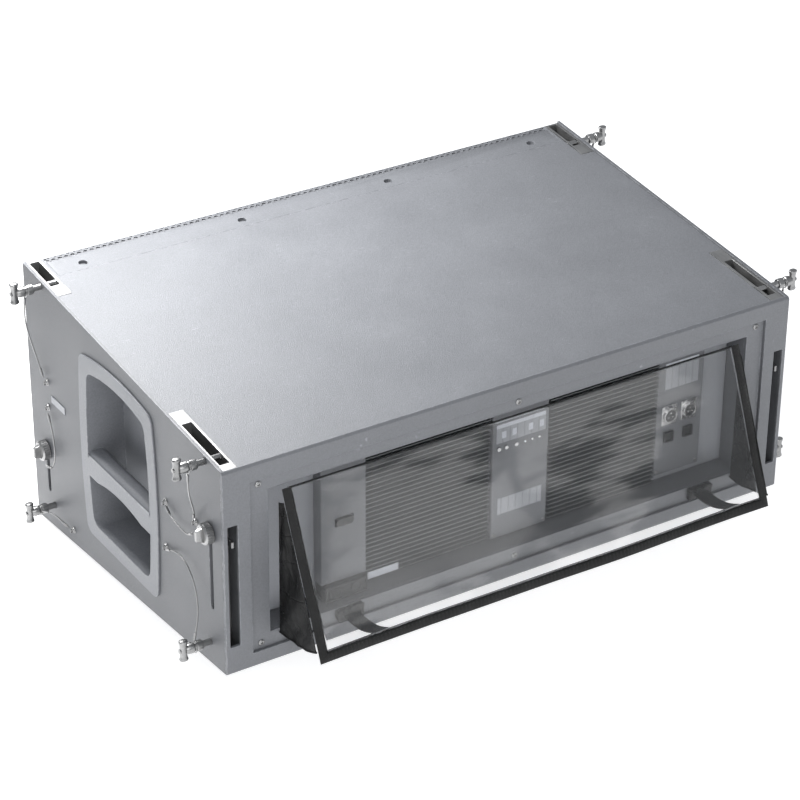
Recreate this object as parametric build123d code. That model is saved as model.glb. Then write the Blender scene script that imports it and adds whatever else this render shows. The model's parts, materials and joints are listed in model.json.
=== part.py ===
from build123d import *
from math import pi, radians, tan
import os

# Self-powered line array loudspeaker, one cabinet, in its flown attitude.
# Millimetres. +Z is up, -Y is the front (grille), +X is the cabinet's right side seen from the front.
# The origin is the centre of the sloped bottom face.

# ---------------------------------------------------------------- cabinet
WIDTH = 914.0            # over the steel side plates
DEPTH = 570.0            # grille face to rear frame face
MID_HEIGHT = 362.0       # bottom face to plate top edge at mid depth
WEDGE_DEG = 5.0          # slope of the top face, and of the bottom face
PLATE_THICKNESS = 5.0    # steel side plates
PLATE_PROUD = 3.0        # plate top edge above the top panel
PANEL_THICKNESS = 15.0   # plywood of top, bottom and sides
CHANNEL_WIDTH = 22.0     # rigging channel between side plate and side panel
BAFFLE_THICKNESS = 18.0
WALL_THICKNESS = 12.0    # walls of the horn chamber
SLIP = 0.5               # clearance round parts that are dropped into cut-outs
JOINT_GAP = 1.0          # clearance beside moving parts

HALF_WIDTH = WIDTH / 2
FRONT_Y = -DEPTH / 2
REAR_Y = DEPTH / 2
PLATE_INNER_X = HALF_WIDTH - PLATE_THICKNESS
SIDE_OUTER_X = PLATE_INNER_X - CHANNEL_WIDTH
SIDE_INNER_X = SIDE_OUTER_X - PANEL_THICKNESS
SLOPE = tan(radians(WEDGE_DEG))
BRACKET_INNER_X = SIDE_OUTER_X
LINK_X = (PLATE_INNER_X + SIDE_OUTER_X) / 2   # middle of the rigging channel

# ---------------------------------------------------------------- rear frame and hood flange
FRAME_THICKNESS = 5.0
FRAME_STILE = 40.0       # width of each stile
FRAME_TOP_RAIL = 26.0
FRAME_BOTTOM_RAIL = 23.0
FLANGE_THICKNESS = 5.0   # inner flange that carries the hood
FLANGE_LEDGE = 29.0      # what shows of it beside each stile
FLANGE_LEDGE_TOP = 21.0
FLANGE_LEDGE_BOTTOM = 22.0
WINDOW_WIDTH = 15.0      # window in each stile, over the rear link
WINDOW_OFFSET = 13.5     # its centre from the cabinet's side
WINDOW_TOP_Z = 254.0
WINDOW_BOTTOM_Z = 68.0
TOP_BEVEL = 3.0          # bevel along the frame's top and bottom outer edges

FRAME_BACK_Y = REAR_Y - FRAME_THICKNESS
FLANGE_BACK_Y = FRAME_BACK_Y - FLANGE_THICKNESS
OPEN_X = HALF_WIDTH - FRAME_STILE
OPEN_TOP_Z = MID_HEIGHT - SLOPE * REAR_Y - FRAME_TOP_RAIL
OPEN_BOTTOM_Z = SLOPE * REAR_Y + FRAME_BOTTOM_RAIL
BAY_X = OPEN_X - FLANGE_LEDGE
BAY_TOP_Z = OPEN_TOP_Z - FLANGE_LEDGE_TOP
BAY_BOTTOM_Z = OPEN_BOTTOM_Z + FLANGE_LEDGE_BOTTOM

# ---------------------------------------------------------------- grille and drivers
GRILLE_SHEET = 1.6
GRILLE_RETURN = 50.0     # length of the grille's top and bottom flanges
GRILLE_END_GAP = 5.0     # from the grille's ends to the rigging channels
FOAM_THICKNESS = 6.0
BAFFLE_FRONT_Y = FRONT_Y + 27.0
WOOFER_X = 280.0
WOOFER_FLANGE_R = 131.0
WOOFER_CUTOUT_R = 120.0
BASKET_FLANGE = 6.0
BASKET_DEPTH = 88.0      # baffle front to magnet
BASKET_SHEET = 3.0
BASKET_WINDOWS = 6
MAGNET_R = 62.0
MAGNET_THICKNESS = 38.0
CONE_R = 100.0
COIL_R = 31.0
CONE_SHEET = 1.4
CONE_DEPTH = 46.0
SURROUND_R = 114.0
HORN_MOUTH_HALF_X = 122.0
HORN_MOUTH_HALF_Z = 150.0
HORN_THROAT_HALF_X = 14.0
HORN_THROAT_HALF_Z = 58.0
HORN_LENGTH = 118.0
HORN_SHEET = 4.0
HORN_RIM = 14.0
DRIVER_R = 56.0
DRIVER_LENGTH = 50.0
ADAPTOR_LENGTH = 26.0
THROAT_R = 18.0
SCREW_HEAD_R = 5.0
SCREW_HEAD = 1.2
GRILLE_SCREW_X = (124.0, 380.0)
GRILLE_SCREW_INSET = 34.0

GRILLE_HALF = SIDE_OUTER_X - GRILLE_END_GAP

# ---------------------------------------------------------------- rigging
LINK_THICKNESS = 10.0
LINK_WIDTH = 34.0
SLOT_WIDTH = 14.0        # receiver slots in the brackets
BRACKET_DEPTH = 22.0
BRACKET_LAND = 0.8       # bracket face above the top panel
PIN_R = 4.5
PIN_HOLE_R = 4.8
PIN_BODY_R = 7.5
PIN_BODY_START = 13.0    # collar's distance from the plate
PIN_BODY_END = 36.0
PIN_GRIP_THICKNESS = 11.0
PIN_GRIP_HEIGHT = 34.0
PIN_GRIP_WIDTH = 12.0
TOP_PIN_DROP = 7.5       # pin axis below the plate's top edge
KNOB_R = 15.0
KNOB_THICKNESS = 12.0
KNOB_STUD_R = 4.0
KNOB_SLOT_HALF = 4.3
KNOB_WING_RISE = 9.0
KNOB_WING_SPAN = 22.0
KNOB_WING_WIDTH = 7.0
LINK_SLOT_HALF = 7.0     # half width of the link's own slot, over the lock pin
LINK_EYE_R = 5.5
POINTER_HEIGHT = 9.0
POINTER_SHEET = 4.0
POINTER_INSET = 2.0      # its end below the rear frame's face
POINTER_DROP = 30.0      # below the top of its window
LINK_CORNER_R = 6.0

# Each end's link, lock pins, knob, bracket and slot, placed from that end's face of the cabinet.
RIGGING = {
    "front": dict(link_y=FRONT_Y + 53, top_pin_y=FRONT_Y + 57, low_pin=(FRONT_Y + 59, 19.0),
                  knob=(FRONT_Y + 45, 106.0), travel=66.0,
                  bracket=(FRONT_Y + 1, FRONT_Y + 98), slot=(FRONT_Y + 4, FRONT_Y + 71)),
    "rear": dict(link_y=REAR_Y - 42, top_pin_y=REAR_Y - 45, low_pin=(REAR_Y - 45, 55.0),
                 knob=(REAR_Y - 36, 231.0), travel=115.0,
                 bracket=(REAR_Y - 152, REAR_Y - 7), slot=(REAR_Y - 122, REAR_Y - 21)),
}
SIDES = {"right": 1, "left": -1}

# ---------------------------------------------------------------- handles
HANDLE_Y = -8.0
HANDLE_HALF_Y = 105.0
HANDLE_BOTTOM_Z = 39.0
HANDLE_TOP_MARGIN = 37.0 # below the top face at mid depth
HANDLE_ARCH = 12.0       # rise of the flange's top edge
HANDLE_BOW = 8.0         # outward bow of its sides
HANDLE_CORNER_R = 16.0
HANDLE_FLANGE = 22.0
HANDLE_SHEET = 3.0
POCKET_DEPTH = 58.0
GRIP_TOP_Z = 175.0
GRIP_HEIGHT = 38.0
GRIP_DEPTH = 27.0
GRIP_ROUND = 9.0
GRIP_HOLLOW = 8.0        # rise of the curve under the grip
GRIP_HOLLOW_R = 256.0
HANDLE_TOP_Z = MID_HEIGHT - HANDLE_TOP_MARGIN
HANDLE_SCREW_Z = (HANDLE_TOP_Z - 13, GRIP_TOP_Z - 20, HANDLE_BOTTOM_Z + 13)
HANDLE_SCREW_HALF_Y = (HANDLE_HALF_Y - 15, HANDLE_HALF_Y - 6, HANDLE_HALF_Y - 15)

# ---------------------------------------------------------------- amplifier
FACE_DEPTH = 45.0        # amplifier face plate, below the rear face
FACE_THICKNESS = 4.0
FACE_MARGIN = 2.0
BAY_DEPTH = 135.0        # bay's inner end, below the rear face
BAY_SHEET = 4.0
CHASSIS_HALF_X = 300.0
CHASSIS_SHEET = 2.5
FIN_PITCH = 7.0
FIN_THICKNESS = 2.0
FIN_HEIGHT = 8.0
FIN_BASE = 4.0
CENTRE_PLATE = (-71.0, 22.0)
LEFT_FINS = (-258.0, -74.0)
RIGHT_FINS = (25.0, 224.0)
POWER_BOX = (228.0, 298.0)
INPUT_PANEL = (-342.0, -262.0)
CENTRE_PLATE_RISE = 13.0
POWER_BOX_RISE = 20.0
INPUT_PANEL_RISE = 6.0
POWER_BOX_RAISE = 27.0   # bottom of the mains box above the bay's floor
INLET_HEIGHT = 24.0
SWITCH_CENTRE = (262.0, 190.0)
SWITCH_LENGTH = 27.0
SWITCH_HEIGHT = 11.0
SWITCH_DEPTH = 5.0
CONNECTORS = ((-284.0, 179.0), (-318.0, 179.0))
CONNECTOR_R = 12.0
CONNECTOR_BORE_R = 9.0
CONNECTOR_RISE = 6.0
BOARD_THICKNESS = 2.0
BOARD_MARGIN = 12.0
BOARD_MARGIN_Z = 24.0
BOARD_STANDOFF = 6.0
TRANSFORMER_X = 190.0
TRANSFORMER_R = 48.0
TRANSFORMER_BORE_R = 16.0
TRANSFORMER_HEIGHT = 42.0
CAPACITOR_X = (100.0, 64.0, 28.0, -8.0)
CAPACITOR_DROP = 40.0
CAPACITOR_R = 14.0
CAPACITOR_HEIGHT = 38.0
CHOKE_X = (-110.0, -190.0)
CHOKE_HALF_X = 26.0
CHOKE_HALF_Z = 30.0
CHOKE_HEIGHT = 30.0
CHASSIS_GAP = 6.0        # air behind the chassis, in the bay

FACE_Y = REAR_Y - FACE_DEPTH
POWER_BOX_BOTTOM_Z = BAY_BOTTOM_Z + POWER_BOX_RAISE
BAY_BACK_Y = REAR_Y - BAY_DEPTH
CHASSIS_BACK_Y = BAY_BACK_Y + BAY_SHEET + CHASSIS_GAP

# ---------------------------------------------------------------- rain hood
HOOD_LENGTH = 237.5
HOOD_FLARE_DEG = 22.8
HOOD_END_GAP = 18.0      # from the hood's ends to the recess's side walls
BINDING_WIDTH = 13.0
BINDING_THICKNESS = 4.0
HOOD_SHEET = 1.2
GUSSET_SHEET = 1.2
GUSSET_GAP = 4.5         # gusset's distance outside the binding

HOOD_HINGE_Y = REAR_Y - 0.5
HOOD_HINGE_Z = BAY_TOP_Z - 4.0
HOOD_HALF = BAY_X - HOOD_END_GAP
GUSSET_X = HOOD_HALF + GUSSET_GAP

# ---------------------------------------------------------------- lanyards
LANYARD_D = 2.2
ANCHOR_R = 4.5
ANCHOR_RISE = 3.2
# Route points on the right side: distance outside the side plate, y, z.
LANYARDS = {
    "lanyard_rear_top": [(25, 240, 324.0), (25, 239, 308), (22, 236, 286), (14, 229, 264),
                         (7, 220, 247), (4.2, 212, 233)],
    "lanyard_rear_knob": [(4.6, 134, 212), (5, 146, 204), (6, 165, 201), (8.5, 190, 203),
                          (13, 213, 211), (16.5, 230.5, 224)],
    "lanyard_rear_bottom": [(4.6, 131, 140), (5, 145, 148), (6, 168, 156), (7, 192, 155),
                            (8, 212, 140), (10, 226, 119), (15, 236, 98), (22, 241, 78),
                            (25, 240.5, 63.4)],
    "lanyard_front_top": [(25, -228.5, 366.0), (25, -232, 347), (21, -242, 322), (14, -250, 295),
                          (8, -248, 268), (5, -239, 246), (4.4, -230, 230)],
    "lanyard_front_knob": [(4.6, -222, 176), (5, -211, 158), (6, -203, 137), (7, -199, 116),
                           (9.5, -201, 97), (13, -210, 87), (15, -222.5, 90)],
    "lanyard_front_bottom": [(25, -218.0, 21.5), (21, -206, 25), (14, -195, 22), (8, -185, 14),
                             (4.6, -173, 10)],
}
ANCHORS = [(127, 212), (124, 140), (210, 226), (-226, 223), (-227, 182), (-166, 9)]
BEND_SHARE = 0.45

os.makedirs("parts", exist_ok=True)


def top_z(y, drop=0.0):
    """Height of the cabinet's top envelope at depth y, less a drop."""
    return MID_HEIGHT - SLOPE * y - drop


def low_z(y, rise=0.0):
    """Height of the cabinet's bottom envelope at depth y, plus a rise."""
    return SLOPE * y + rise


def block(x0, x1, y0, y1, z0, z1):
    """A box between two corners."""
    return Pos((x0 + x1) / 2, (y0 + y1) / 2, (z0 + z1) / 2) * Box(abs(x1 - x0), abs(y1 - y0), abs(z1 - z0))


def prism(x0, x1, outline):
    """A solid between x0 and x1 whose outline is given as (y, z) points."""
    face = Plane.YZ.offset(min(x0, x1)) * Polygon(*outline, align=None)
    return extrude(face, amount=abs(x1 - x0))


def wedge(x0, x1, y0, y1, top_drop=0.0, low_rise=0.0):
    """The cabinet's tapered envelope between two x and two y stations."""
    return prism(x0, x1, [(y0, low_z(y0, low_rise)), (y1, low_z(y1, low_rise)),
                          (y1, top_z(y1, top_drop)), (y0, top_z(y0, top_drop))])


def rod_x(x0, x1, y, z, radius):
    """A cylinder along X."""
    return Pos((x0 + x1) / 2, y, z) * Rot(0, 90, 0) * Cylinder(radius, abs(x1 - x0))


def rod_y(y0, y1, x, z, radius):
    """A cylinder along Y."""
    return Pos(x, (y0 + y1) / 2, z) * Rot(90, 0, 0) * Cylinder(radius, abs(y1 - y0))


def turned_y(x, z, profile):
    """A solid of revolution about the Y line through (x, z); profile holds (radius, y) points."""
    face = Plane.XY * Polygon(*profile, align=None)
    return Pos(x, 0, z) * revolve(face, Axis.Y, 360)


def on_both_sides(shape):
    """The shape and its mirror image across the cabinet's middle plane."""
    return [shape, shape.mirror(Plane.YZ)]


def on_side(sign, shape):
    """The shape on the right side, or its mirror image on the left."""
    return shape if sign > 0 else shape.mirror(Plane.YZ)


def solids_of(things):
    """Every solid in a list of shapes."""
    found = []
    for thing in things:
        found.extend(thing.solids())
    return found


def save(name, *things):
    """Write one node's STEP file."""
    solids = solids_of(things)
    shape = solids[0] if len(solids) == 1 else Compound(solids)
    export_step(shape, f"parts/{name}.step")


# ---------------------------------------------------------------- plywood shell
def bracket_block(rig, margin=0.0):
    """The space of one top bracket on the right side."""
    y0, y1 = rig["bracket"]
    y0, y1 = y0 - margin, y1 + margin
    return prism(BRACKET_INNER_X - margin, PLATE_INNER_X, [
        (y0, top_z(y0, PLATE_PROUD - BRACKET_LAND + BRACKET_DEPTH + margin)),
        (y1, top_z(y1, PLATE_PROUD - BRACKET_LAND + BRACKET_DEPTH + margin)),
        (y1, top_z(y1, PLATE_PROUD - BRACKET_LAND)), (y0, top_z(y0, PLATE_PROUD - BRACKET_LAND))])


def low_bracket_block(rig, margin=0.0):
    """The space of one bottom bracket on the right side."""
    y0, y1 = rig["bracket"]
    y0, y1 = y0 - margin, y1 + margin
    return prism(BRACKET_INNER_X - margin, PLATE_INNER_X, [
        (y0, low_z(y0)), (y1, low_z(y1)),
        (y1, low_z(y1, BRACKET_DEPTH + margin)), (y0, low_z(y0, BRACKET_DEPTH + margin))])


def bracket_notch(rig, top):
    """What a bracket takes out of the panel it is let into."""
    y0, y1 = rig["bracket"][0] - SLIP, rig["bracket"][1] + SLIP
    reach = PLATE_PROUD + PANEL_THICKNESS + 2
    if top:
        outline = [(y0, top_z(y0, reach)), (y1, top_z(y1, reach)), (y1, top_z(y1, -2)), (y0, top_z(y0, -2))]
    else:
        outline = [(y0, low_z(y0, -2)), (y1, low_z(y1, -2)), (y1, low_z(y1, reach)), (y0, low_z(y0, reach))]
    return prism(BRACKET_INNER_X - SLIP, PLATE_INNER_X + 1, outline)


def panels():
    """Top and bottom panels, rebated for the grille and notched for the brackets."""
    reach = PLATE_PROUD + PANEL_THICKNESS
    y0, y1 = FRONT_Y, FRAME_BACK_Y
    rebate_y = FRONT_Y + GRILLE_RETURN + SLIP
    rebate = GRILLE_SHEET + 0.1
    half = GRILLE_HALF + SLIP
    # A joint line is left in front of the rear frame, so that a flat plate can lie on the whole top.
    y2 = y1 - SLIP
    top = prism(-PLATE_INNER_X, PLATE_INNER_X, [
        (y0, top_z(y0, reach)), (y2, top_z(y2, reach)),
        (y2, top_z(y2, PLATE_PROUD)), (y0, top_z(y0, PLATE_PROUD))])
    top -= prism(-half, half, [
        (y0 - 1, top_z(y0, PLATE_PROUD + rebate)), (rebate_y, top_z(rebate_y, PLATE_PROUD + rebate)),
        (rebate_y, top_z(rebate_y, 0)), (y0 - 1, top_z(y0, 0))])
    low = prism(-PLATE_INNER_X, PLATE_INNER_X, [
        (y0, low_z(y0)), (y1, low_z(y1)), (y1, low_z(y1, PANEL_THICKNESS)), (y0, low_z(y0, PANEL_THICKNESS))])
    low -= prism(-half, half, [
        (y0 - 1, low_z(y0, -2)), (rebate_y, low_z(rebate_y, -2)),
        (rebate_y, low_z(rebate_y, rebate)), (y0 - 1, low_z(y0, rebate))])
    # The grille's face stands in front of both panels.
    lip = block(-half, half, y0 - 1, y0 + GRILLE_SHEET + 0.1, -100, MID_HEIGHT + 100)
    top -= lip
    low -= lip
    for rig in RIGGING.values():
        for cut in on_both_sides(bracket_notch(rig, True)):
            top -= cut
        for cut in on_both_sides(bracket_notch(rig, False)):
            low -= cut
    for x in GRILLE_SCREW_X:
        for hole in on_both_sides(grille_screw(x, SCREW_HEAD_R + 1.5, GRILLE_SHEET + 3.0)):
            top -= hole
    return top, low


def inner_wedge(x0, x1, y0, y1):
    """A slice of the space between the top and bottom panels."""
    return wedge(x0, x1, y0, y1, PLATE_PROUD + PANEL_THICKNESS, PANEL_THICKNESS)


def handle_outline(inset=0.0):
    """The handle's outline on the side, as a face in the YZ plane, drawn in by an inset."""
    y0 = HANDLE_Y - HANDLE_HALF_Y + inset
    y1 = HANDLE_Y + HANDLE_HALF_Y - inset
    z0 = HANDLE_BOTTOM_Z + inset
    z1 = HANDLE_TOP_Z - inset
    mid_z = (z0 + z1) / 2
    edges = [
        ThreePointArc((y0, z1), (HANDLE_Y, z1 + HANDLE_ARCH), (y1, z1)),
        ThreePointArc((y1, z1), (y1 + HANDLE_BOW, mid_z), (y1, z0)),
        Line((y1, z0), (y0, z0)),
        ThreePointArc((y0, z0), (y0 - HANDLE_BOW, mid_z), (y0, z1)),
    ]
    face = make_face(edges)
    return fillet(face.vertices(), HANDLE_CORNER_R)


def handle_prism(x0, x1, inset=0.0):
    """The handle's outline as a solid between two x stations."""
    return extrude(Plane.YZ.offset(x0) * handle_outline(inset), amount=x1 - x0)


def handle():
    """One handle: flange, pocket and grip bar, on the right side."""
    wall = HANDLE_FLANGE - HANDLE_SHEET
    inner_x = HALF_WIDTH - POCKET_DEPTH
    body = handle_prism(HALF_WIDTH, HALF_WIDTH + HANDLE_SHEET)
    body += handle_prism(inner_x, HALF_WIDTH, wall)
    body -= handle_prism(inner_x + HANDLE_SHEET, HALF_WIDTH + HANDLE_SHEET + 1, HANDLE_FLANGE)
    half = HANDLE_HALF_Y - HANDLE_FLANGE + HANDLE_BOW + 1
    outer_x = HALF_WIDTH + HANDLE_SHEET
    bar = block(outer_x - GRIP_DEPTH, outer_x, HANDLE_Y - half, HANDLE_Y + half,
                GRIP_TOP_Z - GRIP_HEIGHT, GRIP_TOP_Z)
    bar = fillet(bar.edges().filter_by(Axis.Y).group_by(Axis.Z)[-1], GRIP_ROUND)
    # The bar's lower edge is hollowed in a long curve for the fingers.
    bar -= rod_x(outer_x - GRIP_DEPTH - 1, outer_x + 1, HANDLE_Y,
                 GRIP_TOP_Z - GRIP_HEIGHT + GRIP_HOLLOW - GRIP_HOLLOW_R, GRIP_HOLLOW_R)
    bar &= handle_prism(inner_x, outer_x, wall + 0.5)
    return body + bar


def side_panels():
    """The plywood sides, cut away round the handle pockets."""
    panel = inner_wedge(SIDE_INNER_X, SIDE_OUTER_X, FRONT_Y + 4, FRAME_BACK_Y)
    panel -= handle_prism(SIDE_INNER_X - 1, SIDE_OUTER_X + 1, HANDLE_FLANGE - HANDLE_SHEET - SLIP)
    return on_both_sides(panel)


def knob_slot(rig, x0, x1, half):
    """The slot that a knob's stud runs in, with room at both ends."""
    y, z = rig["knob"]
    slot = block(x0, x1, y - half, y + half, z - rig["travel"], z)
    slot += rod_x(x0, x1, y, z, half)
    slot += rod_x(x0, x1, y, z - rig["travel"], half)
    return slot


def side_plates():
    """The steel plates: handle cut-out, knob slots, pin holes and a folded front lip."""
    plate = wedge(PLATE_INNER_X, HALF_WIDTH, FRONT_Y, FRAME_BACK_Y)
    lip = inner_wedge(SIDE_OUTER_X, PLATE_INNER_X, FRONT_Y, FRONT_Y + 3)
    for rig in RIGGING.values():
        lip -= bracket_block(rig, SLIP)
        lip -= low_bracket_block(rig, SLIP)
    plate += lip
    plate -= handle_prism(PLATE_INNER_X - 1, HALF_WIDTH + 1, HANDLE_FLANGE - HANDLE_SHEET - SLIP)
    for rig in RIGGING.values():
        plate -= knob_slot(rig, PLATE_INNER_X - 1, HALF_WIDTH + 1, KNOB_SLOT_HALF)
        y = rig["top_pin_y"]
        plate -= rod_x(PLATE_INNER_X - 1, HALF_WIDTH + 1, y, top_z(y, TOP_PIN_DROP), PIN_HOLE_R)
        y, z = rig["low_pin"]
        plate -= rod_x(PLATE_INNER_X - 1, HALF_WIDTH + 1, y, z, PIN_HOLE_R)
    return on_both_sides(plate)


def baffle():
    """The front baffle with its two cone driver holes and the horn mouth."""
    board = inner_wedge(-SIDE_INNER_X, SIDE_INNER_X, BAFFLE_FRONT_Y, BAFFLE_FRONT_Y + BAFFLE_THICKNESS)
    mid_z = MID_HEIGHT / 2
    for x in (-WOOFER_X, WOOFER_X):
        board -= rod_y(BAFFLE_FRONT_Y - 1, BAFFLE_FRONT_Y + BAFFLE_THICKNESS + 1, x, mid_z, WOOFER_CUTOUT_R)
    half_x = HORN_MOUTH_HALF_X + HORN_SHEET + SLIP
    half_z = HORN_MOUTH_HALF_Z + HORN_SHEET + SLIP
    board -= block(-half_x, half_x, BAFFLE_FRONT_Y - 1, BAFFLE_FRONT_Y + BAFFLE_THICKNESS + 1,
                   mid_z - half_z, mid_z + half_z)
    return board


def chamber_walls():
    """Two upright walls that part the horn from the cone drivers."""
    x0 = HORN_MOUTH_HALF_X + HORN_RIM + HORN_SHEET
    wall = inner_wedge(x0, x0 + WALL_THICKNESS, BAFFLE_FRONT_Y + BAFFLE_THICKNESS, BAY_BACK_Y - 1)
    return on_both_sides(wall)


# ---------------------------------------------------------------- rear
def rear_frame():
    """The bezel, with a window in each stile over the rear link."""
    frame = wedge(-HALF_WIDTH, HALF_WIDTH, FRAME_BACK_Y, REAR_Y)
    top = frame.edges().filter_by(Axis.X).group_by(Axis.Y)[-1]
    frame = chamfer(top, TOP_BEVEL)
    frame -= block(-OPEN_X, OPEN_X, FRAME_BACK_Y - 1, REAR_Y + 1, OPEN_BOTTOM_Z, OPEN_TOP_Z)
    x = HALF_WIDTH - WINDOW_OFFSET
    window = block(x - WINDOW_WIDTH / 2, x + WINDOW_WIDTH / 2, FRAME_BACK_Y - 1, REAR_Y + 1,
                   WINDOW_BOTTOM_Z, WINDOW_TOP_Z)
    for cut in on_both_sides(window):
        frame -= cut
    return frame


def hood_flange():
    """The flat frame inside the bezel that the hood and the bay are fixed to."""
    flange = inner_wedge(-SIDE_INNER_X, SIDE_INNER_X, FLANGE_BACK_Y, FRAME_BACK_Y)
    flange -= block(-BAY_X, BAY_X, FLANGE_BACK_Y - 1, FRAME_BACK_Y + 1, BAY_BOTTOM_Z, BAY_TOP_Z)
    return flange


def electronics_bay():
    """The open-backed tray that holds the amplifier clear of the driver chambers."""
    outer = block(-BAY_X - BAY_SHEET, BAY_X + BAY_SHEET, BAY_BACK_Y, FLANGE_BACK_Y,
                  BAY_BOTTOM_Z - BAY_SHEET, BAY_TOP_Z + BAY_SHEET)
    return outer - block(-BAY_X, BAY_X, BAY_BACK_Y + BAY_SHEET, FLANGE_BACK_Y + 1, BAY_BOTTOM_Z, BAY_TOP_Z)


# ---------------------------------------------------------------- rigging
def slot_brackets():
    """Slotted receivers at the cabinet's top and bottom edges, cross-bored for the lock pins."""
    found = []
    for rig in RIGGING.values():
        s0, s1 = rig["slot"]
        x0, x1 = LINK_X - SLOT_WIDTH / 2, LINK_X + SLOT_WIDTH / 2
        slot = block(x0, x1, s0, s1, -100, MID_HEIGHT + 100)
        top = bracket_block(rig) - slot
        y = rig["top_pin_y"]
        top -= rod_x(BRACKET_INNER_X - 1, HALF_WIDTH, y, top_z(y, TOP_PIN_DROP), PIN_HOLE_R)
        low = low_bracket_block(rig) - slot
        low -= rod_x(BRACKET_INNER_X - 1, HALF_WIDTH, *rig["low_pin"], PIN_HOLE_R)
        found += on_both_sides(top) + on_both_sides(low)
    return found


def link_ends(rig):
    """The lowest and highest z of a stowed link."""
    y = rig["link_y"]
    half = LINK_WIDTH / 2
    low = low_z(y + half) + JOINT_GAP
    high = top_z(y + half, PLATE_PROUD + BRACKET_DEPTH) - JOINT_GAP * 3
    return low, high


def link(rig, rear):
    """A captive link bar: eye at its foot, long slot over the lock pin, pointer on the rear ones."""
    y, half = rig["link_y"], LINK_WIDTH / 2
    x0, x1 = LINK_X - LINK_THICKNESS / 2, LINK_X + LINK_THICKNESS / 2
    low, high = link_ends(rig)
    bar = block(x0, x1, y - half, y + half, low, high)
    bar = fillet(bar.edges().filter_by(Axis.X), LINK_CORNER_R)
    pin_y, pin_z = rig["low_pin"]
    bar -= block(x0 - 1, x1 + 1, pin_y - LINK_SLOT_HALF, pin_y + LINK_SLOT_HALF, pin_z, pin_z + rig["travel"])
    bar -= rod_x(x0 - 1, x1 + 1, pin_y, pin_z, LINK_SLOT_HALF)
    bar -= rod_x(x0 - 1, x1 + 1, pin_y, pin_z + rig["travel"], LINK_SLOT_HALF)
    eye_z = (low + pin_z - LINK_SLOT_HALF) / 2
    bar -= rod_x(x0 - 1, x1 + 1, pin_y, eye_z, LINK_EYE_R)
    if rear:
        z = WINDOW_TOP_Z - POINTER_DROP
        bar += block(LINK_X, LINK_X + POINTER_SHEET, y + half - 1, REAR_Y - POINTER_INSET,
                     z - POINTER_HEIGHT / 2, z + POINTER_HEIGHT / 2)
    return bar


def knob(rig):
    """A knob with its wing grip and the stud that joins it to the link."""
    y, z = rig["knob"]
    start = HALF_WIDTH + JOINT_GAP
    body = rod_x(start, start + KNOB_THICKNESS, y, z, KNOB_R)
    body = chamfer(body.edges().group_by(Axis.X)[-1], 1.5)
    body += rod_x(LINK_X + LINK_THICKNESS / 2, start, y, z, KNOB_STUD_R)
    x0 = start + KNOB_THICKNESS
    body += block(x0, x0 + KNOB_WING_RISE, y - KNOB_WING_WIDTH / 2, y + KNOB_WING_WIDTH / 2,
                  z - KNOB_WING_SPAN / 2, z + KNOB_WING_SPAN / 2)
    return body


def lock_pin(y, z, inner_x):
    """A quick release pin: shaft, collar and T grip."""
    pin = rod_x(inner_x, HALF_WIDTH + PIN_BODY_START, y, z, PIN_R)
    pin += rod_x(HALF_WIDTH + PIN_BODY_START, HALF_WIDTH + PIN_BODY_END, y, z, PIN_BODY_R)
    x0 = HALF_WIDTH + PIN_BODY_END
    half = PIN_GRIP_HEIGHT / 2 - PIN_GRIP_WIDTH / 2
    grip_r = PIN_GRIP_WIDTH / 2
    pin += block(x0, x0 + PIN_GRIP_THICKNESS, y - grip_r, y + grip_r, z - half, z + half)
    for end in (-half, half):
        pin += rod_x(x0, x0 + PIN_GRIP_THICKNESS, y, z + end, grip_r)
    return pin


# ---------------------------------------------------------------- drivers and grille
def grille_screw(x, radius, depth):
    """A screw head or its pocket, square to the top face."""
    y = FRONT_Y + GRILLE_SCREW_INSET
    z = top_z(y, PLATE_PROUD)
    return Pos(x, y, z) * Rot(-WEDGE_DEG, 0, 0) * Pos(0, 0, -depth / 2) * Cylinder(radius, depth)


def grille():
    """The steel grille: face and two flanges that lie in the panels' rebates."""
    y0, y1 = FRONT_Y, FRONT_Y + GRILLE_RETURN
    t = GRILLE_SHEET
    face = prism(-GRILLE_HALF, GRILLE_HALF, [
        (y0, low_z(y0)), (y0 + t, low_z(y0 + t)),
        (y0 + t, top_z(y0 + t, PLATE_PROUD)), (y0, top_z(y0, PLATE_PROUD))])
    face += prism(-GRILLE_HALF, GRILLE_HALF, [
        (y0, top_z(y0, PLATE_PROUD + t)), (y1, top_z(y1, PLATE_PROUD + t)),
        (y1, top_z(y1, PLATE_PROUD)), (y0, top_z(y0, PLATE_PROUD))])
    face += prism(-GRILLE_HALF, GRILLE_HALF, [
        (y0, low_z(y0)), (y1, low_z(y1)), (y1, low_z(y1, t)), (y0, low_z(y0, t))])
    for x in GRILLE_SCREW_X:
        for hole in on_both_sides(grille_screw(x, SCREW_HEAD_R + 1.5, GRILLE_SHEET + 3.0)):
            face -= hole
    return face


def grille_foam():
    """The open-cell foam behind the grille's face."""
    y0 = FRONT_Y + GRILLE_SHEET
    y1 = y0 + FOAM_THICKNESS
    drop, rise = PLATE_PROUD + PANEL_THICKNESS + 1, PANEL_THICKNESS + 1
    return wedge(-SIDE_INNER_X + 1, SIDE_INNER_X - 1, y0, y1, drop, rise)


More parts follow.
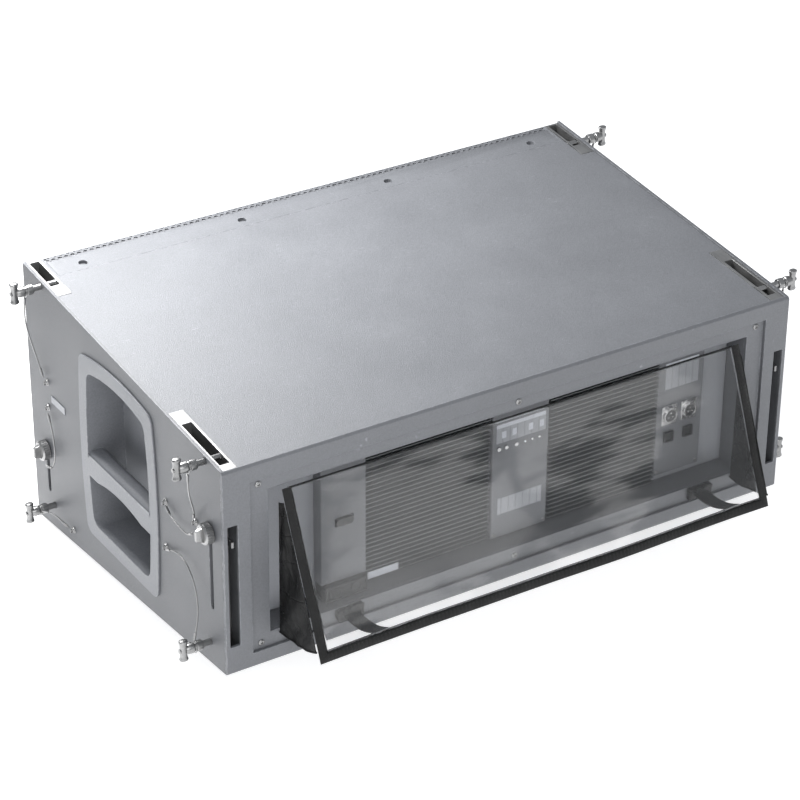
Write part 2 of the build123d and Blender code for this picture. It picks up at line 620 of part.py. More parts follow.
def woofer_motor(x):
    """A cone driver's basket and magnet, with windows in the basket and a gap for the coil."""
    z = MID_HEIGHT / 2
    y0 = BAFFLE_FRONT_Y
    y1 = y0 + BASKET_DEPTH
    rim_r = SURROUND_R + 1.5
    basket = turned_y(x, z, [
        (rim_r, y0 - BASKET_FLANGE), (WOOFER_FLANGE_R, y0 - BASKET_FLANGE), (WOOFER_FLANGE_R, y0),
        (WOOFER_CUTOUT_R - 1, y0), (WOOFER_CUTOUT_R - 1, y0 + BAFFLE_THICKNESS + 4),
        (MAGNET_R - 12, y1 - 4), (MAGNET_R - 12, y1), (COIL_R + 4, y1), (COIL_R + 4, y1 - BASKET_SHEET),
        (MAGNET_R - 16, y1 - BASKET_SHEET), (rim_r - BASKET_SHEET + 1, y0 + BAFFLE_THICKNESS + 2),
        (rim_r, y0 + BAFFLE_THICKNESS)])
    window = block(x - 17, x + 17, y0 + BAFFLE_THICKNESS + 10, y1 - 12, z, z + WOOFER_CUTOUT_R)
    for i in range(BASKET_WINDOWS):
        turn = Pos(x, 0, z) * Rot(0, 360 / BASKET_WINDOWS * i, 0) * Pos(-x, 0, -z)
        basket -= turn * window
    y2 = y1 + MAGNET_THICKNESS
    magnet = turned_y(x, z, [
        (0, y1), (COIL_R - 2, y1), (COIL_R - 2, y1 + 34), (COIL_R + 2, y1 + 34), (COIL_R + 2, y1),
        (MAGNET_R, y1), (MAGNET_R, y2), (0, y2)])
    return basket + magnet


def woofer_cone(x):
    """The moving part of a cone driver: cone, dust cap and voice coil former."""
    z = MID_HEIGHT / 2
    y0 = BAFFLE_FRONT_Y - BASKET_FLANGE + 2
    y1 = y0 + CONE_DEPTH
    coil_end = BAFFLE_FRONT_Y + BASKET_DEPTH + 20
    cap_y = y0 + 20
    return turned_y(x, z, [
        (CONE_R, y0), (CONE_R, y0 + CONE_SHEET), (COIL_R + 0.5, y1 + CONE_SHEET), (COIL_R + 0.5, coil_end),
        (COIL_R - 0.5, coil_end), (COIL_R - 0.5, y1), (COIL_R + 2, y1 - 4), (26, cap_y + 12), (14, cap_y + 6),
        (0, cap_y + 4), (0, cap_y + 2.6), (15, cap_y + 4.6), (27.5, cap_y + 10.6), (COIL_R + 5, y1 - 6.5)])


def surround(x):
    """The half-round rubber roll between a cone and its basket."""
    z = MID_HEIGHT / 2
    y0 = BAFFLE_FRONT_Y - BASKET_FLANGE + 2
    inner, outer = CONE_R + 0.2, SURROUND_R + 1.5
    mid = (inner + outer) / 2
    rise = 6.5
    return turned_y(x, z, [
        (inner, y0), (inner, y0 + 1.4), (mid - 5, y0 + 1.0), (mid - 3, y0 - rise + 3), (mid, y0 - rise + 1.6),
        (mid + 3, y0 - rise + 3), (mid + 5, y0 + 1.0), (outer, y0 + 1.4), (outer, y0),
        (mid + 6, y0 - 1.5), (mid + 3.6, y0 - rise + 1.2), (mid, y0 - rise),
        (mid - 3.6, y0 - rise + 1.2), (mid - 6, y0 - 1.5)])


def flare(grow, y0, y1):
    """The horn's tapered body, thickened by grow, from its mouth at y0 to its throat at y1."""
    z = MID_HEIGHT / 2
    mouth = Plane((0, y0, z), x_dir=(1, 0, 0), z_dir=(0, 1, 0)) * Rectangle(
        2 * (HORN_MOUTH_HALF_X + grow), 2 * (HORN_MOUTH_HALF_Z + grow))
    throat = Plane((0, y1, z), x_dir=(1, 0, 0), z_dir=(0, 1, 0)) * Rectangle(
        2 * (HORN_THROAT_HALF_X + grow), 2 * (HORN_THROAT_HALF_Z + grow))
    return loft([mouth.face(), throat.face()], ruled=True)


def waveguide():
    """The horn with its mouth flange, which is screwed to the baffle's front."""
    z = MID_HEIGHT / 2
    y0 = BAFFLE_FRONT_Y - BASKET_FLANGE
    y1 = BAFFLE_FRONT_Y + HORN_LENGTH
    half_x, half_z = HORN_MOUTH_HALF_X + HORN_RIM, HORN_MOUTH_HALF_Z + HORN_RIM
    horn = block(-half_x, half_x, y0, BAFFLE_FRONT_Y, z - half_z, z + half_z)
    horn += flare(HORN_SHEET, BAFFLE_FRONT_Y, y1)
    horn -= flare(0, BAFFLE_FRONT_Y - 0.01, y1 + 0.01)
    horn -= block(-HORN_MOUTH_HALF_X, HORN_MOUTH_HALF_X, y0 - 1, BAFFLE_FRONT_Y, z - HORN_MOUTH_HALF_Z,
                  z + HORN_MOUTH_HALF_Z)
    return horn


def compression_driver():
    """The driver and the adaptor that joins it to the horn's throat."""
    z = MID_HEIGHT / 2
    y1 = BAFFLE_FRONT_Y + HORN_LENGTH
    y2 = y1 + ADAPTOR_LENGTH
    half_x, half_z = HORN_THROAT_HALF_X + HORN_SHEET + 6, HORN_THROAT_HALF_Z + HORN_SHEET + 6
    body = block(-half_x, half_x, y1, y2, z - half_z, z + half_z)
    body += rod_y(y2, y2 + DRIVER_LENGTH, 0, z, DRIVER_R)
    body -= rod_y(y1 - 1, y2 + 8, 0, z, THROAT_R)
    return chamfer(body.edges().group_by(Axis.Y)[-1], 4.0)


# ---------------------------------------------------------------- amplifier
def amp_chassis():
    """The amplifier's face plate and the closed box behind it."""
    half = BAY_X - FACE_MARGIN
    z0, z1 = BAY_BOTTOM_Z + FACE_MARGIN, BAY_TOP_Z - FACE_MARGIN
    plate = block(-half, half, FACE_Y - FACE_THICKNESS, FACE_Y, z0, z1)
    y0 = CHASSIS_BACK_Y
    box = block(-CHASSIS_HALF_X, CHASSIS_HALF_X, y0, FACE_Y - FACE_THICKNESS, z0 + 8, z1 - 8)
    t = CHASSIS_SHEET
    box -= block(-CHASSIS_HALF_X + t, CHASSIS_HALF_X - t, y0 + t, FACE_Y - FACE_THICKNESS + 0.1,
                 z0 + 8 + t, z1 - 8 - t)
    return plate + box


def heat_sinks():
    """Two finned heat sinks, fins level, either side of the centre plate."""
    z0, z1 = BAY_BOTTOM_Z + FACE_MARGIN + 4, BAY_TOP_Z - FACE_MARGIN - 4
    count = int((z1 - z0 - FIN_THICKNESS) // FIN_PITCH) + 1
    start = (z0 + z1 - (count - 1) * FIN_PITCH) / 2
    found = []
    for x0, x1 in (LEFT_FINS, RIGHT_FINS):
        sink = block(x0, x1, FACE_Y, FACE_Y + FIN_BASE, z0, z1)
        for i in range(count):
            z = start + i * FIN_PITCH
            sink += block(x0, x1, FACE_Y + FIN_BASE, FACE_Y + FIN_BASE + FIN_HEIGHT,
                          z - FIN_THICKNESS / 2, z + FIN_THICKNESS / 2)
        found.append(sink)
    return found


def control_plate():
    """The raised cover between the heat sinks."""
    plate = block(*CENTRE_PLATE, FACE_Y, FACE_Y + CENTRE_PLATE_RISE,
                  BAY_BOTTOM_Z + FACE_MARGIN + 2, BAY_TOP_Z - FACE_MARGIN - 2)
    return chamfer(plate.edges().group_by(Axis.Y)[-1], 1.5)


def power_module():
    """The raised mains box, open where the rocker sits."""
    x, z = SWITCH_CENTRE
    box = block(*POWER_BOX, FACE_Y, FACE_Y + POWER_BOX_RISE, POWER_BOX_BOTTOM_Z,
                BAY_TOP_Z - FACE_MARGIN - 4)
    box = fillet(box.edges().group_by(Axis.Y)[-1], 2.0)
    box -= block(x - SWITCH_LENGTH / 2 - JOINT_GAP, x + SWITCH_LENGTH / 2 + JOINT_GAP,
                 FACE_Y + POWER_BOX_RISE - SWITCH_DEPTH - 5, FACE_Y + POWER_BOX_RISE + 1,
                 z - SWITCH_HEIGHT / 2 - JOINT_GAP, z + SWITCH_HEIGHT / 2 + JOINT_GAP)
    return box


def power_switch():
    """The rocker, rounded at both ends, standing a little out of its box."""
    x, z = SWITCH_CENTRE
    front = FACE_Y + POWER_BOX_RISE
    rocker = block(x - SWITCH_LENGTH / 2, x + SWITCH_LENGTH / 2, front - SWITCH_DEPTH, front + 3,
                   z - SWITCH_HEIGHT / 2, z + SWITCH_HEIGHT / 2)
    return fillet(rocker.edges().filter_by(Axis.Y), SWITCH_HEIGHT / 2 - 0.5)


def input_panel():
    """The plate that carries the signal connectors."""
    plate = block(*INPUT_PANEL, FACE_Y, FACE_Y + INPUT_PANEL_RISE,
                  BAY_BOTTOM_Z + FACE_MARGIN + 10, BAY_TOP_Z - FACE_MARGIN - 6)
    return chamfer(plate.edges().group_by(Axis.Y)[-1], 1.0)


def connectors():
    """Two round signal sockets, two small data sockets, a button bezel row and the mains inlet block."""
    front = FACE_Y + INPUT_PANEL_RISE
    found = []
    for x, z in CONNECTORS:
        socket = rod_y(front, front + CONNECTOR_RISE, x, z, CONNECTOR_R)
        socket -= rod_y(front + 1.5, front + CONNECTOR_RISE + 1, x, z, CONNECTOR_BORE_R)
        found.append(socket)
        low = block(x - 8, x + 8, front, front + 4, z - 44, z - 28)
        low -= block(x - 5.5, x + 5.5, front + 1.2, front + 5, z - 41.5, z - 30.5)
        found.append(low)
    inlet = block(POWER_BOX[0] + 2, POWER_BOX[1] - 2, FACE_Y, FACE_Y + POWER_BOX_RISE + 8,
                  POWER_BOX_BOTTOM_Z - INLET_HEIGHT, POWER_BOX_BOTTOM_Z - 0.5)
    found.append(fillet(inlet.edges().filter_by(Axis.X).group_by(Axis.Y)[-1], 4.0))
    return found


def amplifier_board():
    """The board in the chassis with its toroidal transformer and four capacitors."""
    z = (BAY_BOTTOM_Z + BAY_TOP_Z) / 2
    half_z = (BAY_TOP_Z - BAY_BOTTOM_Z) / 2 - BOARD_MARGIN_Z
    y1 = CHASSIS_BACK_Y + CHASSIS_SHEET + BOARD_STANDOFF + BOARD_THICKNESS
    half_x = CHASSIS_HALF_X - BOARD_MARGIN
    found = [block(-half_x, half_x, y1 - BOARD_THICKNESS, y1, z - half_z, z + half_z)]
    coil = rod_y(y1, y1 + TRANSFORMER_HEIGHT, TRANSFORMER_X, z, TRANSFORMER_R)
    coil -= rod_y(y1 - 1, y1 + TRANSFORMER_HEIGHT + 1, TRANSFORMER_X, z, TRANSFORMER_BORE_R)
    found.append(coil)
    for x in CAPACITOR_X:
        found.append(rod_y(y1, y1 + CAPACITOR_HEIGHT, x, z - CAPACITOR_DROP, CAPACITOR_R))
    for x in CHOKE_X:
        found.append(block(x - CHOKE_HALF_X, x + CHOKE_HALF_X, y1, y1 + CHOKE_HEIGHT,
                           z - CHOKE_HALF_Z, z + CHOKE_HALF_Z))
    return found


# ---------------------------------------------------------------- rain hood
def hood_frame_shape(u0, u1, half0, half1, thickness):
    """A flat piece in the hood's own plane: u runs down from the hinge line."""
    piece = block(half0, half1, -thickness / 2, thickness / 2, -u1, -u0)
    return Pos(0, HOOD_HINGE_Y, HOOD_HINGE_Z) * Rot(HOOD_FLARE_DEG, 0, 0) * piece


def hood_panel():
    """The clear vinyl sheet."""
    inner = HOOD_HALF - BINDING_WIDTH
    return hood_frame_shape(0, HOOD_LENGTH - BINDING_WIDTH, -inner, inner, HOOD_SHEET)


def hood_binding():
    """The binding down both sides and along the lower edge."""
    inner = HOOD_HALF - BINDING_WIDTH
    frame = hood_frame_shape(0, HOOD_LENGTH, -HOOD_HALF, HOOD_HALF, BINDING_THICKNESS)
    return frame - hood_frame_shape(-1, HOOD_LENGTH - BINDING_WIDTH, -inner, inner, BINDING_THICKNESS + 1)


def hood_gussets():
    """The fabric triangles that close the hood's ends."""
    low_z_edge = BAY_BOTTOM_Z + 2
    reach = (HOOD_HINGE_Z - low_z_edge) * tan(radians(HOOD_FLARE_DEG))
    back = FRAME_BACK_Y + 1
    gusset = prism(GUSSET_X - GUSSET_SHEET / 2, GUSSET_X + GUSSET_SHEET / 2, [
        (back, HOOD_HINGE_Z - 4), (back, low_z_edge), (HOOD_HINGE_Y + reach - 1, low_z_edge)])
    return on_both_sides(gusset)


# ---------------------------------------------------------------- screws, anchors and lanyards
def screws():
    """Every visible screw and lanyard eyelet base."""
    found = []
    for x in GRILLE_SCREW_X:
        found += on_both_sides(Pos(0, 0, -GRILLE_SHEET - 1.0) * grille_screw(x, SCREW_HEAD_R, SCREW_HEAD))
    face = HALF_WIDTH + HANDLE_SHEET
    for z, half in zip(HANDLE_SCREW_Z, HANDLE_SCREW_HALF_Y):
        for y in (HANDLE_Y - half, HANDLE_Y + half):
            found += on_both_sides(rod_x(face, face + SCREW_HEAD, y, z, SCREW_HEAD_R - 1))
    for x in (0.0, OPEN_X - FLANGE_LEDGE / 2):
        for z in (OPEN_TOP_Z - 9, OPEN_BOTTOM_Z + 9):
            head = rod_y(FRAME_BACK_Y, FRAME_BACK_Y + SCREW_HEAD, x, z, SCREW_HEAD_R - 1)
            found += [head] if x == 0 else on_both_sides(head)
    for y, z in ANCHORS:
        found += on_both_sides(rod_x(HALF_WIDTH, HALF_WIDTH + ANCHOR_RISE, y, z, ANCHOR_R))
    return found


def lanyard(name):
    """One wire lanyard on the right side: straight runs joined by tangent arcs."""
    points = [Vector(HALF_WIDTH + x, y, z) for x, y, z in LANYARDS[name]]
    radii = []
    for before, here, after in zip(points, points[1:], points[2:]):
        run = min((here - before).length, (after - here).length)
        turn = (here - before).get_angle(after - here)
        radii.append(BEND_SHARE * run / tan(radians(turn / 2)))
    path = FilletPolyline(*points, radius=radii)
    wire = path.wire() if hasattr(path, "wire") else path
    section = Plane(points[0], z_dir=points[1] - points[0]) * Circle(LANYARD_D / 2)
    tube = sweep(section, path=wire)
    share = tube.volume / (pi * LANYARD_D ** 2 / 4 * wire.length)
    print(name, "length", round(wire.length, 1), "volume ratio", round(share, 4),
          "radii", [round(r) for r in radii])
    return tube


# ---------------------------------------------------------------- write every node
def build():
    top, low = panels()
    save("top_panel", top)
    save("bottom_panel", low)
    save("side_panels", *side_panels())
    save("front_baffle", baffle())
    save("chamber_walls", *chamber_walls())
    save("electronics_bay", electronics_bay())
    save("rear_frame", rear_frame())
    save("hood_mount_frame", hood_flange())
    save("side_plates", *side_plates())
    save("slot_brackets", *slot_brackets())
    save("handles", *on_both_sides(handle()))
    save("grille", grille())
    save("grille_foam", grille_foam())
    save("woofer_motors", woofer_motor(WOOFER_X), woofer_motor(-WOOFER_X))
    save("waveguide", waveguide())
    save("compression_driver", compression_driver())
    save("amp_chassis", amp_chassis())
    save("heat_sinks", *heat_sinks())
    save("control_plate", control_plate())
    save("power_module", power_module())
    save("power_switch", power_switch())
    save("input_panel", input_panel())
    save("connectors", *connectors())
    save("amplifier_board", *amplifier_board())
    save("screws", *screws())
    save("hood_panel", hood_panel())
    save("hood_binding", hood_binding())
    save("hood_gussets", *hood_gussets())
    for side, sign in SIDES.items():
        save(f"woofer_cone_{side}", woofer_cone(sign * WOOFER_X))
        save(f"surround_{side}", surround(sign * WOOFER_X))
        for end, rig in RIGGING.items():
            save(f"link_{end}_{side}", on_side(sign, link(rig, end == "rear")))
            save(f"knob_{end}_{side}", on_side(sign, knob(rig)))
            y = rig["top_pin_y"]
            top_pin = lock_pin(y, top_z(y, TOP_PIN_DROP), BRACKET_INNER_X + 1)
            save(f"pin_{end}_top_{side}", on_side(sign, top_pin))
            low_pin = lock_pin(*rig["low_pin"], SIDE_OUTER_X + 1)
            save(f"pin_{end}_bottom_{side}", on_side(sign, low_pin))
        for name in LANYARDS:
            save(f"{name}_{side}", on_side(sign, lanyard(name)))


build()
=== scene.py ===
# %% [markdown]
# # A line array loudspeaker, seen from behind
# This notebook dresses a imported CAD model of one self-powered line array cabinet. The CAD model says how
# large every piece is, where it sits and how it moves. Blender adds what the eye looks for: paint with a
# grain, softened edges, wire rope, clear vinyl, stitched binding and perforated steel.
# The model is loaded first, as a fixed frame. Nothing in it is moved: a piece that needs a better shape is
# modelled again and stands in for the CAD piece.

# %% Load the frame
import json
from math import atan2, cos, pi, radians, sin, sqrt

import bpy
from mathutils import Matrix, Vector, noise


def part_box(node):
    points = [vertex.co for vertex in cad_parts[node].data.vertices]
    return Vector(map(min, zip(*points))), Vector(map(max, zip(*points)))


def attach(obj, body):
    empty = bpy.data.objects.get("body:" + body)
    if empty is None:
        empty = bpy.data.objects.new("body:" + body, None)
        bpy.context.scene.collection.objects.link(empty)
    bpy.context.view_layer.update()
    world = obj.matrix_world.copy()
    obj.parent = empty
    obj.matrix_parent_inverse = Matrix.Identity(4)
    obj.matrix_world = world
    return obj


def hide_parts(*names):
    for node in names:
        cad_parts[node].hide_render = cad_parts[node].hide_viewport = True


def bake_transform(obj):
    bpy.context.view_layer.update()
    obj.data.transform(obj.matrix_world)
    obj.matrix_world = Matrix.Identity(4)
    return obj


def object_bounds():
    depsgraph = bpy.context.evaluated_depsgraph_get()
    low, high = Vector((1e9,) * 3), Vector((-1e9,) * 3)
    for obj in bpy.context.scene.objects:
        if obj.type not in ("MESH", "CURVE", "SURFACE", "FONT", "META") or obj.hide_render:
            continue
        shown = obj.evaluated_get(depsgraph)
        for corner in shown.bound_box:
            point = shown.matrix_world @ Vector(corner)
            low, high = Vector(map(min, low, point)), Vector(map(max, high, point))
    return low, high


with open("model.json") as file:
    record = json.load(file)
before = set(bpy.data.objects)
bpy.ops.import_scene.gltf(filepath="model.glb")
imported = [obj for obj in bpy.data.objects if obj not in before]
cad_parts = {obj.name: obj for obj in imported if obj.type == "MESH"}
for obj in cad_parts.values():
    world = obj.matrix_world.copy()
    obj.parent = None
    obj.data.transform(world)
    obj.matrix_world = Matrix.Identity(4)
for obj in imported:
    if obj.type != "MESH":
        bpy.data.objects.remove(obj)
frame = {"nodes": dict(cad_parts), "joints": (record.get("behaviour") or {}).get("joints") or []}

cad_low, cad_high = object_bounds()
SIDES = {"right": 1, "left": -1}
print("CAD box", [round(v, 3) for v in cad_low], [round(v, 3) for v in cad_high])

# %% [markdown]
# ## Camera
# The camera stands above and behind the cabinet, towards its right-hand end, with a long lens. It is built
# from an azimuth, an elevation and a small roll. The three columns of its matrix are its right, its up and
# its backward direction, which is easier to reason about than Euler angles.

# %% Camera
CAMERA_PLACE = Vector((1.9307, 3.0328, 2.2411))
AZIMUTH, ELEVATION, ROLL = radians(147.67), radians(29.98), radians(0.393)
LENS_MM = 130.04
SENSOR_MM = 36.0

backward = Vector((sin(AZIMUTH) * cos(ELEVATION), -cos(AZIMUTH) * cos(ELEVATION), sin(ELEVATION)))
level = Vector((cos(AZIMUTH), sin(AZIMUTH), 0))
upright = backward.cross(level)
across = level * cos(ROLL) + upright * sin(ROLL)
upward = upright * cos(ROLL) - level * sin(ROLL)
camera_data = bpy.data.cameras.new("studio_camera")
camera_data.lens = LENS_MM
camera_data.sensor_width = SENSOR_MM
camera = bpy.data.objects.new("studio_camera", camera_data)
bpy.context.scene.collection.objects.link(camera)
facing = Matrix((across, upward, backward)).transposed().to_4x4()
camera.matrix_world = Matrix.Translation(CAMERA_PLACE) @ facing
bpy.context.scene.camera = camera
print("camera lens", camera_data.lens, "mm")

# %% [markdown]
# ## Helpers for modelling
# Every piece is made with the same few moves that a person makes by hand: add a primitive, apply its place,
# pick faces, extrude or inset them, soften the edges. An operator works on whatever is selected, so each
# helper starts by deselecting everything.

# %% Selecting and applying
AXES = {"X": Vector((1, 0, 0)), "Y": Vector((0, 1, 0)), "Z": Vector((0, 0, 1))}
TURNS = {"X": (0, pi / 2, 0), "Y": (-pi / 2, 0, 0), "Z": (0, 0, 0)}
SMOOTH_ANGLE = radians(35)


def only(*pieces):
    """Select these pieces and nothing else; the last one is active."""
    bpy.ops.object.select_all(action="DESELECT")
    for piece in pieces:
        piece.select_set(True)
    bpy.context.view_layer.objects.active = pieces[-1]


def settle(piece):
    """Move the object's place, turn and scale into its mesh."""
    only(piece)
    bpy.ops.object.transform_apply(location=True, rotation=True, scale=True)
    return piece


def open_with(piece, wanted):
    """Enter edit mode with only the faces selected that wanted(centre, normal) accepts."""
    only(piece)
    bpy.ops.object.mode_set(mode="EDIT")
    bpy.ops.mesh.select_mode(type="FACE")
    bpy.ops.mesh.select_all(action="DESELECT")
    bpy.ops.object.mode_set(mode="OBJECT")
    for face in piece.data.polygons:
        face.select = bool(wanted(face.center, face.normal))
    bpy.ops.object.mode_set(mode="EDIT")


def close():
    """Leave edit mode."""
    bpy.ops.object.mode_set(mode="OBJECT")


def tidy_mesh(piece, gap=1e-6):
    """Merge doubles and turn every face outward."""
    open_with(piece, lambda centre, normal: True)
    bpy.ops.mesh.remove_doubles(threshold=gap)
    bpy.ops.mesh.normals_make_consistent(inside=False)
    close()
    return piece


def use_modifier(piece, kind, **settings):
    """Add a modifier, set it and apply it."""
    only(piece)
    modifier = piece.modifiers.new(kind.lower(), kind)
    for key, value in settings.items():
        setattr(modifier, key, value)
    bpy.ops.object.modifier_apply(modifier=modifier.name)
    return piece


def smooth(piece):
    """Shade the whole piece smooth."""
    only(piece)
    bpy.ops.object.shade_smooth()
    return piece


def soften(piece, width, segments=2, angle=32):
    """Round the sharp edges and shade the piece smooth between them."""
    use_modifier(piece, "BEVEL", width=width, segments=segments, limit_method="ANGLE",
                 angle_limit=radians(angle), use_clamp_overlap=False)
    only(piece)
    bpy.ops.object.shade_smooth_by_angle(angle=SMOOTH_ANGLE)
    return use_modifier(piece, "WEIGHTED_NORMAL", keep_sharp=True, weight=80)


def slab(low, high):
    """A box between two corners."""
    low, high = Vector(low), Vector(high)
    bpy.ops.object.select_all(action="DESELECT")
    bpy.ops.mesh.primitive_cube_add(size=1, location=(low + high) / 2)
    piece = bpy.context.object
    piece.scale = high - low
    return settle(piece)


def turned(axis, at, stations, sides=32):
    """A turned piece: a disc at the first station, extruded along its axis and resized at each next one."""
    at, along = Vector(at), AXES[axis]
    start, radius = stations[0]
    bpy.ops.object.select_all(action="DESELECT")
    bpy.ops.mesh.primitive_circle_add(vertices=sides, radius=radius, fill_type="NGON",
                                      location=at + along * start, rotation=TURNS[axis])
    piece = settle(bpy.context.object)
    open_with(piece, lambda centre, normal: True)
    for (d0, r0), (d1, r1) in zip(stations, stations[1:]):
        bpy.ops.mesh.extrude_region_move(TRANSFORM_OT_translate={"value": along * (d1 - d0)})
        share = r1 / r0
        bpy.ops.transform.resize(value=(share, share, share), center_override=at + along * d1)
    close()
    return tidy_mesh(piece)


def joined(*pieces):
    """Join several pieces into one."""
    only(*pieces)
    bpy.ops.object.join()
    return bpy.context.object


def another(piece, name, move=(0, 0, 0), mirror=False):
    """A copy with its own mesh, moved, or mirrored across the cabinet's middle."""
    copy = bpy.data.objects.new(name, piece.data.copy())
    bpy.context.scene.collection.objects.link(copy)
    copy.data.transform(Matrix.Translation(move))
    if mirror:
        copy.data.transform(Matrix.Diagonal((-1, 1, 1, 1)))
        copy.data.flip_normals()
    return copy


def dress(piece, name, material, body="root", stands_for=()):
    """Name a finished piece, give it its finish and put it on its body."""
    piece.name = name
    piece.data.name = name
    piece.data.materials.clear()
    piece.data.materials.append(material)
    if body:
        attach(piece, body)
    if stands_for:
        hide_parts(*stands_for)
    return piece


def eased_copy(node, width, segments=2):
    """A copy of a CAD piece with merged corners, whole flat faces and softened edges."""
    source = frame["nodes"][node]
    piece = bpy.data.objects.new(node + "_eased", source.data.copy())
    bpy.context.scene.collection.objects.link(piece)
    only(piece)
    bpy.ops.object.mode_set(mode="EDIT")
    bpy.ops.mesh.select_all(action="SELECT")
    bpy.ops.mesh.remove_doubles(threshold=1e-6)
    bpy.ops.mesh.dissolve_limited(angle_limit=radians(0.05))
    close()
    bpy.ops.mesh.customdata_custom_splitnormals_clear()
    return soften(piece, width, segments)


# %% [markdown]
# ## Helpers for materials
# A finish is a Principled shader fed by a few procedural patterns. Patterns that several finishes share are
# node groups with named inputs, so each finish only says how large and how strong it wants them.
# All patterns read Object coordinates, in metres, so a grain of one millimetre has a scale near 1000.

# %% Node helpers
def new_group(name, inputs, outputs):
    """A shader node group with float inputs (name, default) and named outputs (name, kind)."""
    group = bpy.data.node_groups.new(name, "ShaderNodeTree")
    for label, value in inputs:
        socket = group.interface.new_socket(label, in_out="INPUT", socket_type="NodeSocketFloat")
        socket.default_value = value
    for label, kind in outputs:
        group.interface.new_socket(label, in_out="OUTPUT", socket_type="NodeSocket" + kind)
    return group, group.nodes.new("NodeGroupInput"), group.nodes.new("NodeGroupOutput")


def node(tree, kind, settings=None, **inputs):
    """Add a node; settings are its properties, inputs its socket values or the sockets that feed it."""
    made = tree.nodes.new("ShaderNode" + kind)
    for key, value in (settings or {}).items():
        setattr(made, key, value)
    for key, value in inputs.items():
        by_number = key[0] == "i" and key[1:].isdigit()
        socket = made.inputs[int(key[1:]) if by_number else key.replace("_", " ")]
        if isinstance(value, bpy.types.NodeSocket):
            tree.links.new(value, socket)
        else:
            socket.default_value = value
    return made


def maths(tree, operation, a, b=0.0):
    """One Math node's output."""
    return node(tree, "Math", {"operation": operation}, i0=a, i1=b).outputs[0]


def spread(tree, value, low, high, to_low=0.0, to_high=1.0):
    """Stretch a value's range from low..high to to_low..to_high, clamped."""
    return node(tree, "MapRange", i0=value, i1=low, i2=high, i3=to_low, i4=to_high).outputs[0]


def blend_colour(tree, mask, dark, light):
    """A colour between dark and light, by a mask."""
    mix = node(tree, "Mix", {"data_type": "RGBA"})
    for socket, value in ((mix.inputs[0], mask), (mix.inputs[6], dark), (mix.inputs[7], light)):
        if isinstance(value, bpy.types.NodeSocket):
            tree.links.new(value, socket)
        else:
            socket.default_value = value
    return mix.outputs[2]


def grey(value, tint=(1.0, 1.0, 1.0)):
    """A colour of one lightness with a slight tint."""
    return (value * tint[0], value * tint[1], value * tint[2], 1.0)


# %% Shared effects
def make_grain():
    """Sprayed paint's grain: small rounded bumps with finer noise on them."""
    group, given, result = new_group("paint_grain", [("Scale", 900.0), ("Fineness", 0.5)],
                                     [("Height", "Float"), ("Tone", "Float")])
    where = node(group, "TexCoord").outputs["Object"]
    bumps = node(group, "TexVoronoi", {"feature": "SMOOTH_F1"}, Vector=where, Scale=given.outputs[0])
    fine_scale = maths(group, "MULTIPLY", given.outputs[0], 2.3)
    fine = node(group, "TexNoise", Vector=where, Scale=fine_scale, Detail=3.0)
    mixed = maths(group, "ADD", maths(group, "MULTIPLY", bumps.outputs["Distance"], -1.0),
                  maths(group, "MULTIPLY", fine.outputs["Fac"], given.outputs[1]))
    group.links.new(mixed, result.inputs["Height"])
    slow_scale = maths(group, "MULTIPLY", given.outputs[0], 0.35)
    slow = node(group, "TexNoise", Vector=where, Scale=slow_scale, Detail=4.0)
    group.links.new(spread(group, slow.outputs["Fac"], 0.35, 0.65), result.inputs["Tone"])
    return group


def make_handling():
    """What use leaves on a surface: cloudy smears and sparse fine scratches."""
    group, given, result = new_group("handling_marks", [("Cloud Scale", 9.0), ("Scratch Scale", 60.0)],
                                     [("Cloud", "Float"), ("Scratch", "Float")])
    where = node(group, "TexCoord").outputs["Object"]
    cloud = node(group, "TexNoise", Vector=where, Scale=given.outputs[0], Detail=6.0, Roughness=0.62)
    group.links.new(spread(group, cloud.outputs["Fac"], 0.3, 0.7), result.inputs["Cloud"])
    turn = node(group, "Mapping", Vector=where, Rotation=(0.4, 0.7, 0.9), Scale=(1.0, 14.0, 1.0))
    lines = node(group, "TexNoise", Vector=turn.outputs[0], Scale=given.outputs[1], Detail=2.0)
    patch = node(group, "TexNoise", Vector=where, Scale=maths(group, "MULTIPLY", given.outputs[0], 2.0))
    thin = spread(group, lines.outputs["Fac"], 0.70, 0.74)
    group.links.new(maths(group, "MULTIPLY", thin, spread(group, patch.outputs["Fac"], 0.5, 0.6)),
                    result.inputs["Scratch"])
    return group


def make_edge_rub_and_highlight():
    """Where corners are: the rounded normal there differs from the face's own. Paint pales them as rubbed
    wear and as a painted highlight.
    """
    group, given, result = new_group("edge_rub_and_highlight", [("Reach", 0.002), ("Breakup", 120.0)], [("Mask", "Float")])
    rounded = node(group, "Bevel", {"samples": 4}, Radius=given.outputs[0])
    facing = node(group, "NewGeometry").outputs["Normal"]
    dot = node(group, "VectorMath", {"operation": "DOT_PRODUCT"}, i0=rounded.outputs[0], i1=facing)
    corner = spread(group, dot.outputs["Value"], 0.995, 0.90)
    where = node(group, "TexCoord").outputs["Object"]
    broken = node(group, "TexNoise", Vector=where, Scale=given.outputs[1], Detail=4.0)
    group.links.new(maths(group, "MULTIPLY", corner, spread(group, broken.outputs["Fac"], 0.40, 0.62)),
                    result.inputs["Mask"])
    return group


